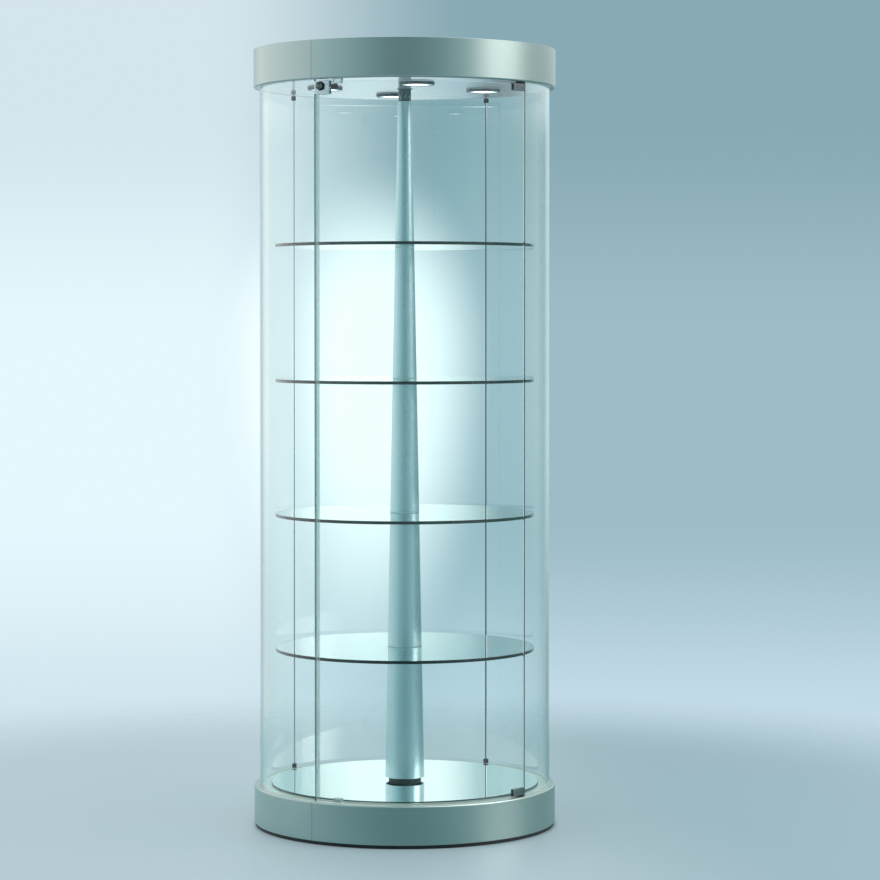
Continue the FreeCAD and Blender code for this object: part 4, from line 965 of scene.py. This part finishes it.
# ---- operators
class CABINET_OT_stage(bpy.types.Operator):
    """Make the pale studio floor, the backdrop, the soft lights and the camera"""

    bl_idname = "cabinet.stage"
    bl_label = "Studio stage"

    def execute(self, context):
        context.scene.view_settings.view_transform = "Standard"
        shades = context.scene.cabinet_colours
        bm = bmesh.new()
        bmesh.ops.create_circle(bm, cap_ends=True, segments=96,
                                radius=context.scene.cabinet_sizes.floor_radius)
        floor = put("studio_floor", plain_mesh(bm))
        floor.data.materials.append(floor_finish(shades))
        build_world(shades)
        side = RIGHT * 2.5 - AHEAD * 0.5 + Vector((0, 0, 2.45))
        studio_light("right_soft_box", side, 1.7, 1, 11, (1, 1, 1))
        over = AHEAD * -0.6 + Vector((0, 0, 4.2))
        studio_light("overhead_soft_box", over, 0, 3, 22, (0.95, 0.99, 1))
        build_camera()
        return {"FINISHED"}


class CABINET_OT_finishes(bpy.types.Operator):
    """Give every carried-over part of the cabinet its finish"""

    bl_idname = "cabinet.finishes"
    bl_label = "Finishes"

    def execute(self, context):
        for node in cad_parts.values():
            for holder in node.material_slots:
                slot = holder.material.name.split(".")[0]
                holder.material = finish("bright_chrome" if node.name == "chrome_sleeve" else slot)
        return {"FINISHED"}


class CABINET_OT_fixed_panes(bpy.types.Operator):
    """Make the three fixed bent panes"""

    bl_idname = "cabinet.fixed_panes"
    bl_label = "Fixed panes"

    def execute(self, context):
        sizes = context.scene.cabinet_sizes
        radii = (sizes.glass_inner_radius, sizes.glass_outer_radius, sizes.glass_outer_radius)
        trim = sizes.pane_gap / 2 / (GLASS_MID * MM)
        for index, name in enumerate(("glass_right", "glass_back", "glass_left")):
            first = math.radians(DOOR_BEARING + 90 * index) + trim
            mesh = ring_mesh(radii, heights(name), sizes.pane_softening, sizes.round_steps // 2,
                             "panel_glass", (first - math.pi / 2, math.pi / 2 - 2 * trim))
            add_piece(name + "_pane", mesh, "cabinet", "panel_glass", [name])
        return {"FINISHED"}


class CABINET_OT_door_pane(bpy.types.Operator):
    """Make the door's bent pane with the rounded notch for its lock"""

    bl_idname = "cabinet.door_pane"
    bl_label = "Door pane"

    def execute(self, context):
        sizes = context.scene.cabinet_sizes
        reach = door_reach()
        notch = 34 - reach
        bottom, top = [height / MM for height in heights("door_glass")]
        outline = rounded([(-reach, bottom), (reach, bottom), (reach, top), (notch, top),
                           (notch, top - 26), (-reach, top - 26)],
                          [1.5, 1.5, 1.5, 1.5, 5, 1.5])
        mesh = bent_plate(outline, sizes.glass_inner_radius / MM, sizes.glass_outer_radius / MM,
                          sizes.pane_softening / MM, 6)
        add_piece("door_pane", mesh, "door", "panel_glass", ["door_glass"])
        return {"FINISHED"}


class CABINET_OT_door_seal(bpy.types.Operator):
    """Make the clear channel strip with its soft nose on the door's lock edge"""

    bl_idname = "cabinet.door_seal"
    bl_label = "Door seal"

    def execute(self, context):
        bottom, top = heights("door_edge_seal")
        edge = -door_reach()
        channel = [(-1.6, 369.2, 1.2), (-0.5, 368, 0.8), (9.2, 368, 0.3), (10, 368.4, 0.3),
                   (9.4, 368.9, 0), (-0.2, 368.85, 0.2), (-0.2, 375.15, 0.2), (9.4, 375.1, 0),
                   (10, 375.6, 0.3), (9.2, 376, 0.3), (-0.5, 376, 0.8), (-1.6, 374.8, 1.2)]
        section = rounded([(edge + along, radius) for along, radius, _ in channel],
                          [rounding for _, _, rounding in channel])
        bm = bmesh.new()
        rings = []
        for height in (bottom, bottom + 0.0004, top - 0.0004, top):
            rings.append([bm.verts.new(on_bearing(radius, bearing_at(along), height / MM))
                          for along, radius in section])
        for lower, upper in zip(rings, rings[1:]):
            ring_faces(bm, lower, upper)
        bm.faces.new(rings[0])
        bm.faces.new(rings[-1])
        add_piece("door_seal", closed_mesh(bm), "door", "clear_pvc", ["door_edge_seal"])
        return {"FINISHED"}


class CABINET_OT_shelves(bpy.types.Operator):
    """Make the four round glass shelves"""

    bl_idname = "cabinet.shelves"
    bl_label = "Glass shelves"

    def execute(self, context):
        sizes = context.scene.cabinet_sizes
        radii = (sizes.core_bore, sizes.shelf_radius, sizes.shelf_radius)
        for node in SHELVES:
            mesh = ring_mesh(radii, heights(node), sizes.shelf_softening, sizes.round_steps,
                             "shelf_glass")
            add_piece(node + "_glass", mesh, "rotor", "shelf_glass", [node])
        return {"FINISHED"}


def column_radius(sizes, height):
    """The column's radius at a height, in metres."""
    low = heights("column_segment_1")[0]
    high = heights("column_segment_5")[1]
    part = (height - low) / (high - low)
    return sizes.column_foot_radius + (sizes.column_head_radius - sizes.column_foot_radius) * part


class CABINET_OT_shelf_rings(bpy.types.Operator):
    """Make the clear rings above and below each shelf"""

    bl_idname = "cabinet.shelf_rings"
    bl_label = "Shelf rings"

    def execute(self, context):
        sizes = context.scene.cabinet_sizes
        thickness = 0.001
        inset = 0.00025
        made = []
        for node in SHELVES:
            low, high = heights(node)
            for bottom in (low - thickness, high):
                radius = column_radius(sizes, bottom) - inset
                made.append(ring_mesh((sizes.core_bore, radius, radius),
                                      (bottom, bottom + thickness), 0.0002, 96, "ring_milky"))
        add_piece("shelf_rings", joined_mesh(made), "rotor", "clear_pvc", ["shelf_gaskets"],
                  look="ring_milky")
        return {"FINISHED"}


class CABINET_OT_column(bpy.types.Operator):
    """Make the five tapered lengths of the column"""

    bl_idname = "cabinet.column"
    bl_label = "Column"

    def execute(self, context):
        sizes = context.scene.cabinet_sizes
        for number in range(1, 6):
            node = "column_segment_%d" % number
            low, high = heights(node)
            radii = (COLUMN_BORE, column_radius(sizes, low), column_radius(sizes, high))
            mesh = ring_mesh(radii, (low, high), sizes.column_softening, sizes.round_steps // 2,
                             "column_satin")
            add_piece("column_length_%d" % number, mesh, "rotor", "column_satin", [node])
        return {"FINISHED"}


class CABINET_OT_mirror(bpy.types.Operator):
    """Make the round mirror floor with its eased edge"""

    bl_idname = "cabinet.mirror"
    bl_label = "Mirror floor"

    def execute(self, context):
        sizes = context.scene.cabinet_sizes
        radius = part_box("mirror_disc")[1][0]
        mesh = ring_mesh((MIRROR_BORE, radius, radius), heights("mirror_disc"),
                         sizes.mirror_softening, sizes.round_steps, "mirror_glass")
        add_piece("mirror_floor", mesh, "cabinet", "mirror_glass", ["mirror_disc"])
        return {"FINISHED"}


def lamp_places():
    """Where the four lamps stand, at height 0."""
    radius = bpy.context.scene.cabinet_sizes.lamp_circle / MM
    return [on_bearing(radius, 90 * index, 0) for index in range(4)]


class CABINET_OT_lamps(bpy.types.Operator):
    """Make the four round lamps: stepped rims, cans and pebbled lenses"""

    bl_idname = "cabinet.lamps"
    bl_label = "Ceiling lamps"

    def execute(self, context):
        here = Matrix.Identity(4)
        places = lamp_places()
        corners = [(0, 1928), (0, 1926), (32, 1926), (32, 1899), (37, 1899),
                   (37, 1896.2), (38.4, 1896), (40.2, 1896), (40.6, 1896.5), (41.4, 1896.5),
                   (41.8, 1896), (45, 1896), (45, 1902), (34, 1902), (34, 1928)]
        radii = [0, 0, 0, 0, 0, 0.2, 0.3, 0.15, 0.1, 0.1, 0.15, 2.2, 0.3, 0, 2]
        housing = turned_mesh(rounded(corners, radii), 72, here)
        made = copies_mesh(housing, places, 0.0, 1, "bright_chrome")
        add_piece("lamp_rims", made, "cabinet", "bright_chrome", ["lamp_housings"], look="rim_chrome")
        lens = turned_mesh([(0, 1899), (36.8, 1899), (36.8, 1897.2), (36.4, 1896.9), (30, 1896.7),
                            (20, 1896.58), (10, 1896.52), (0, 1896.5)], 72, here)
        made = copies_mesh(lens, places, 0.0, 1, "lens_frost")
        add_piece("lamp_lens_set", made, "cabinet", "lens_frost", ["lamp_lenses"])
        return {"FINISHED"}


class CABINET_OT_screws(bpy.types.Operator):
    """Make the pan-head screws of the cover, the spindle flange and the motor bracket"""

    bl_idname = "cabinet.screws"
    bl_label = "Screws"

    def execute(self, context):
        profile = [(0, 1.05), (1.35, 1.05), (1.53, 2.5), (2.61, 2.5), (3.78, 2.1), (4.32, 1.45),
                   (4.5, 0.75), (4.5, 0), (2.5, 0), (2.5, -11.04), (1.75, -12), (0, -12)]
        screw = turned_mesh(profile, 24, Matrix.Identity(4), lobes=(1, 2))
        places = [on_bearing(350.5, 30 + 60 * index, 1997) for index in range(6)]
        places += [on_bearing(25.5, 45 + 90 * index, 33) for index in range(4)]
        places += [Vector((side * 50, 75.1 + row * 56 / 3, 29)) * MM
                   for side in (-1, 1) for row in (-1, 1)]
        made = copies_mesh(screw, places, math.tau, 7, "screw_steel")
        add_piece("screw_set", made, "cabinet", "screw_steel", ["pan_screws"], 40)
        return {"FINISHED"}


class CABINET_OT_joint_clips(bpy.types.Operator):
    """Make the dark clips that hold the panes together at the two back joints"""

    bl_idname = "cabinet.joint_clips"
    bl_label = "Joint clips"

    def execute(self, context):
        half = 6
        thickness = 1.8
        made = []
        for bearing in (135, 225):
            middle = along_glass(bearing)
            for bottom in (108, 1888):
                outline = rounded(rectangle(middle - half, middle + half, bottom, bottom + 2 * half),
                                  [1.6] * 4)
                made += plate_pair(outline, thickness, 0.4, 3)
                web = rectangle(middle - 1.3, middle + 1.3, bottom + 0.6, bottom + 11.4)
                made.append(between_plates(web, 3, 0))
                made += button_pair(2.6, 0.6, bearing, bottom + half, thickness)
        add_piece("clip_set", joined_mesh(made), "cabinet", "dark_metal", ["joint_clips"])
        return {"FINISHED"}


class CABINET_OT_hinges(bpy.types.Operator):
    """Make the door's two corner clamps with their plates, pads, screws and pivot pins"""

    bl_idname = "cabinet.hinges"
    bl_label = "Hinge clamps"

    def execute(self, context):
        edge = door_reach()
        first = edge - 46
        thickness = 3.3
        sunk = 0.1
        pivot = on_bearing(GLASS_MID, bearing_at(edge - 15), 0)
        plates = []
        pads = []
        for glass_end, side in ((1895.5, 1), (111, -1)):
            bridge = glass_end + side * 3
            grip = glass_end - side * 16
            low, high = sorted((bridge, grip))
            radii = [2.6, 2.6, 0.8, 0.8] if side > 0 else [0.8, 0.8, 2.6, 2.6]
            plates += plate_pair(rounded(rectangle(first, edge, low, high), radii), thickness, 0.7, 6)
            roof = rectangle(first + 0.8, edge - 0.8, min(bridge, glass_end) + 0.02,
                             max(bridge, glass_end) - 0.02)
            plates.append(between_plates(roof, 6))
            pad = rectangle(first + 1.2, edge - 1.2, min(grip, glass_end) + 0.8,
                            max(grip, glass_end) - 0.2)
            pads.append(bent_plate(pad, OUTSIDE - 0.2, OUTSIDE, 0, 6))
            pads.append(bent_plate(pad, INSIDE, INSIDE + 0.2, 0, 6))
            middle = (low + high) / 2 - side
            for along in (first + 12, edge - 12):
                plates += button_pair(2.9, 0.7, bearing_at(along), middle, thickness - sunk)
            root = bridge - side
            tip = bridge + side * 10
            pin = [(0, root), (2.5, root), (2.5, tip - side * 0.6), (1.9, tip), (0, tip)]
            plates.append(turned_mesh(pin, 32, Matrix.Translation(pivot)))
        add_piece("hinge_plates", joined_mesh(plates), "door", "bright_chrome", ["hinge_clamps"])
        add_piece("hinge_pads", joined_mesh(pads), "door", "clear_pvc", [])
        return {"FINISHED"}


class CABINET_OT_door_stops(bpy.types.Operator):
    """Make the clear stop blocks inside the door's free side"""

    bl_idname = "cabinet.door_stops"
    bl_label = "Door stops"

    def execute(self, context):
        half = 12
        middle = along_glass(STOP_BEARING)
        made = []
        for bottom, face, turn in ((106, 117, 0), (1891, 1891, math.pi)):
            outline = rectangle(middle - half, middle + half, bottom, bottom + 11)
            made.append(bent_plate(outline, 355.7, 368.7, 1.2, 4))
            seat = Matrix.Translation(on_bearing(362.2, STOP_BEARING, face))
            made.append(button(3.2, 0.25, seat @ Matrix.Rotation(turn, 4, "X")))
        add_piece("door_stop_blocks", joined_mesh(made), "cabinet", "stop_clear", ["door_stops"])
        return {"FINISHED"}


class CABINET_OT_lock(bpy.types.Operator):
    """Make the corner lock: case, barrel, upright bar, plug and cam"""

    bl_idname = "cabinet.lock"
    bl_label = "Corner lock"

    def execute(self, context):
        first = -door_reach()
        last = first + 44
        bottom, top = 1864.5, 1898.5
        thickness = 4.3
        axis = facing(LOCK_BEARING, LOCK_HEIGHT)
        case = plate_pair(rounded(rectangle(first, last, bottom, top), [2.2, 2.2, 1, 1]),
                          thickness, 0.9, 5)
        case.append(between_plates(rectangle(first + 1, first + 33.6, 1869.9, 1896), 5))
        case.append(between_plates(rectangle(first + 1, last - 1, 1895.55, 1898.3), 5))
        for height in (1870.5, 1889.5):
            case.append(button(2.3, 0.6, facing(bearing_at(last - 6), height, OUTSIDE + thickness - 0.1)))
        add_piece("lock_case", joined_mesh(case), "door", "bright_chrome", ["lock_body"],
                  look="plate_chrome")
        barrel = rounded([(7.05, 360), (9, 360), (9, 384), (7.05, 384)], [0, 0.4, 0.9, 0.2])
        collar = rounded([(8.9, 379.4), (11.5, 379.4), (11.5, 380.4), (8.9, 381)], [0, 0, 0.5, 0])
        turned = [turned_mesh(profile, 48, axis) for profile in (barrel, collar)]
        add_piece("lock_barrel", joined_mesh(turned), "door", "dark_metal", [])
        bar = rounded(rectangle(-6.5, 6.5, bottom - LOCK_HEIGHT, top - LOCK_HEIGHT), [1.4] * 4)
        mesh = cut_plate([bar, circle(7.3, 40)], 4, 0.5, facing(LOCK_BEARING, LOCK_HEIGHT, 358))
        add_piece("lock_bar_plate", mesh, "door", "dark_metal", ["lock_bar"])
        plug = [(0, 348), (4.2, 348), (5, 348.7), (5, 350.5), (3, 350.5), (3, 353),
                (7, 353), (7, 384.1), (6.5, 384.6), (5.6, 384.6), (5.3, 384.3), (0, 384.3)]
        add_piece("lock_plug_turned", turned_mesh(plug, 48, axis), "lock", "key_nickel", ["lock_plug"])
        cam = rounded(rectangle(-6, 34, -6, 6), [5.4, 4, 4, 5.4])
        mesh = cut_plate([cam, circle(3)], 2.5, 0.35, facing(LOCK_BEARING, LOCK_HEIGHT, 351.75))
        add_piece("lock_cam_plate", mesh, "lock", "dark_metal", ["lock_cam"])
        return {"FINISHED"}


class CABINET_OT_key(bpy.types.Operator):
    """Make the flat key with its pierced bow"""

    bl_idname = "cabinet.key"
    bl_label = "Key"

    def execute(self, context):
        front = 384.6
        corners = [(-18, -4), (0, -4), (0.2, -8.5), (16, -8.5), (16, 8.5), (0.2, 8.5), (0, 4), (-18, 4)]
        outline = rounded([(front + out, up) for out, up in corners],
                          [1.2, 0, 2.4, 6.2, 6.2, 2.4, 0, 1.2])
        hole = circle(2.5, 24, (front + 9.92, 0))
        stand = Matrix(((0, 0, 1, 0), (0, 1, 0, 0), (1, 0, 0, 0), (0, 0, 0, 1)))
        mesh = cut_plate([outline, hole], 2, 0.25, facing(LOCK_BEARING, LOCK_HEIGHT) @ stand)
        add_piece("cabinet_key", mesh, "lock", "key_nickel", ["key"])
        return {"FINISHED"}


STEPS = (CABINET_OT_stage, CABINET_OT_finishes, CABINET_OT_fixed_panes, CABINET_OT_door_pane,
         CABINET_OT_door_seal, CABINET_OT_shelves, CABINET_OT_shelf_rings, CABINET_OT_column,
         CABINET_OT_mirror, CABINET_OT_lamps, CABINET_OT_screws, CABINET_OT_joint_clips,
         CABINET_OT_hinges, CABINET_OT_door_stops, CABINET_OT_lock, CABINET_OT_key)


class CABINET_PT_pieces(bpy.types.Panel):
    """Lists the cabinet's pieces, sizes and colours"""

    bl_idname = "CABINET_PT_pieces"
    bl_label = "Display cabinet"
    bl_space_type = "VIEW_3D"
    bl_region_type = "UI"
    bl_category = "Cabinet"

    def draw(self, context):
        column = self.layout.column(align=True)
        for step in STEPS:
            column.operator(step.bl_idname)
        for group in (context.scene.cabinet_sizes, context.scene.cabinet_colours):
            box = self.layout.box()
            for name in group.__annotations__:
                box.prop(group, name)


CLASSES = (CabinetSizes, CabinetColours, *STEPS, CABINET_PT_pieces)


def register():
    for kind in CLASSES:
        bpy.utils.register_class(kind)
    bpy.types.Scene.cabinet_sizes = bpy.props.PointerProperty(type=CabinetSizes)
    bpy.types.Scene.cabinet_colours = bpy.props.PointerProperty(type=CabinetColours)


def unregister():
    del bpy.types.Scene.cabinet_colours
    del bpy.types.Scene.cabinet_sizes
    for kind in reversed(CLASSES):
        bpy.utils.unregister_class(kind)


def main():
    """Builds the cabinet."""
    register()
    for step in STEPS:
        area, name = step.bl_idname.split(".")
        getattr(getattr(bpy.ops, area), name)()


if __name__ == "__main__":
    main()
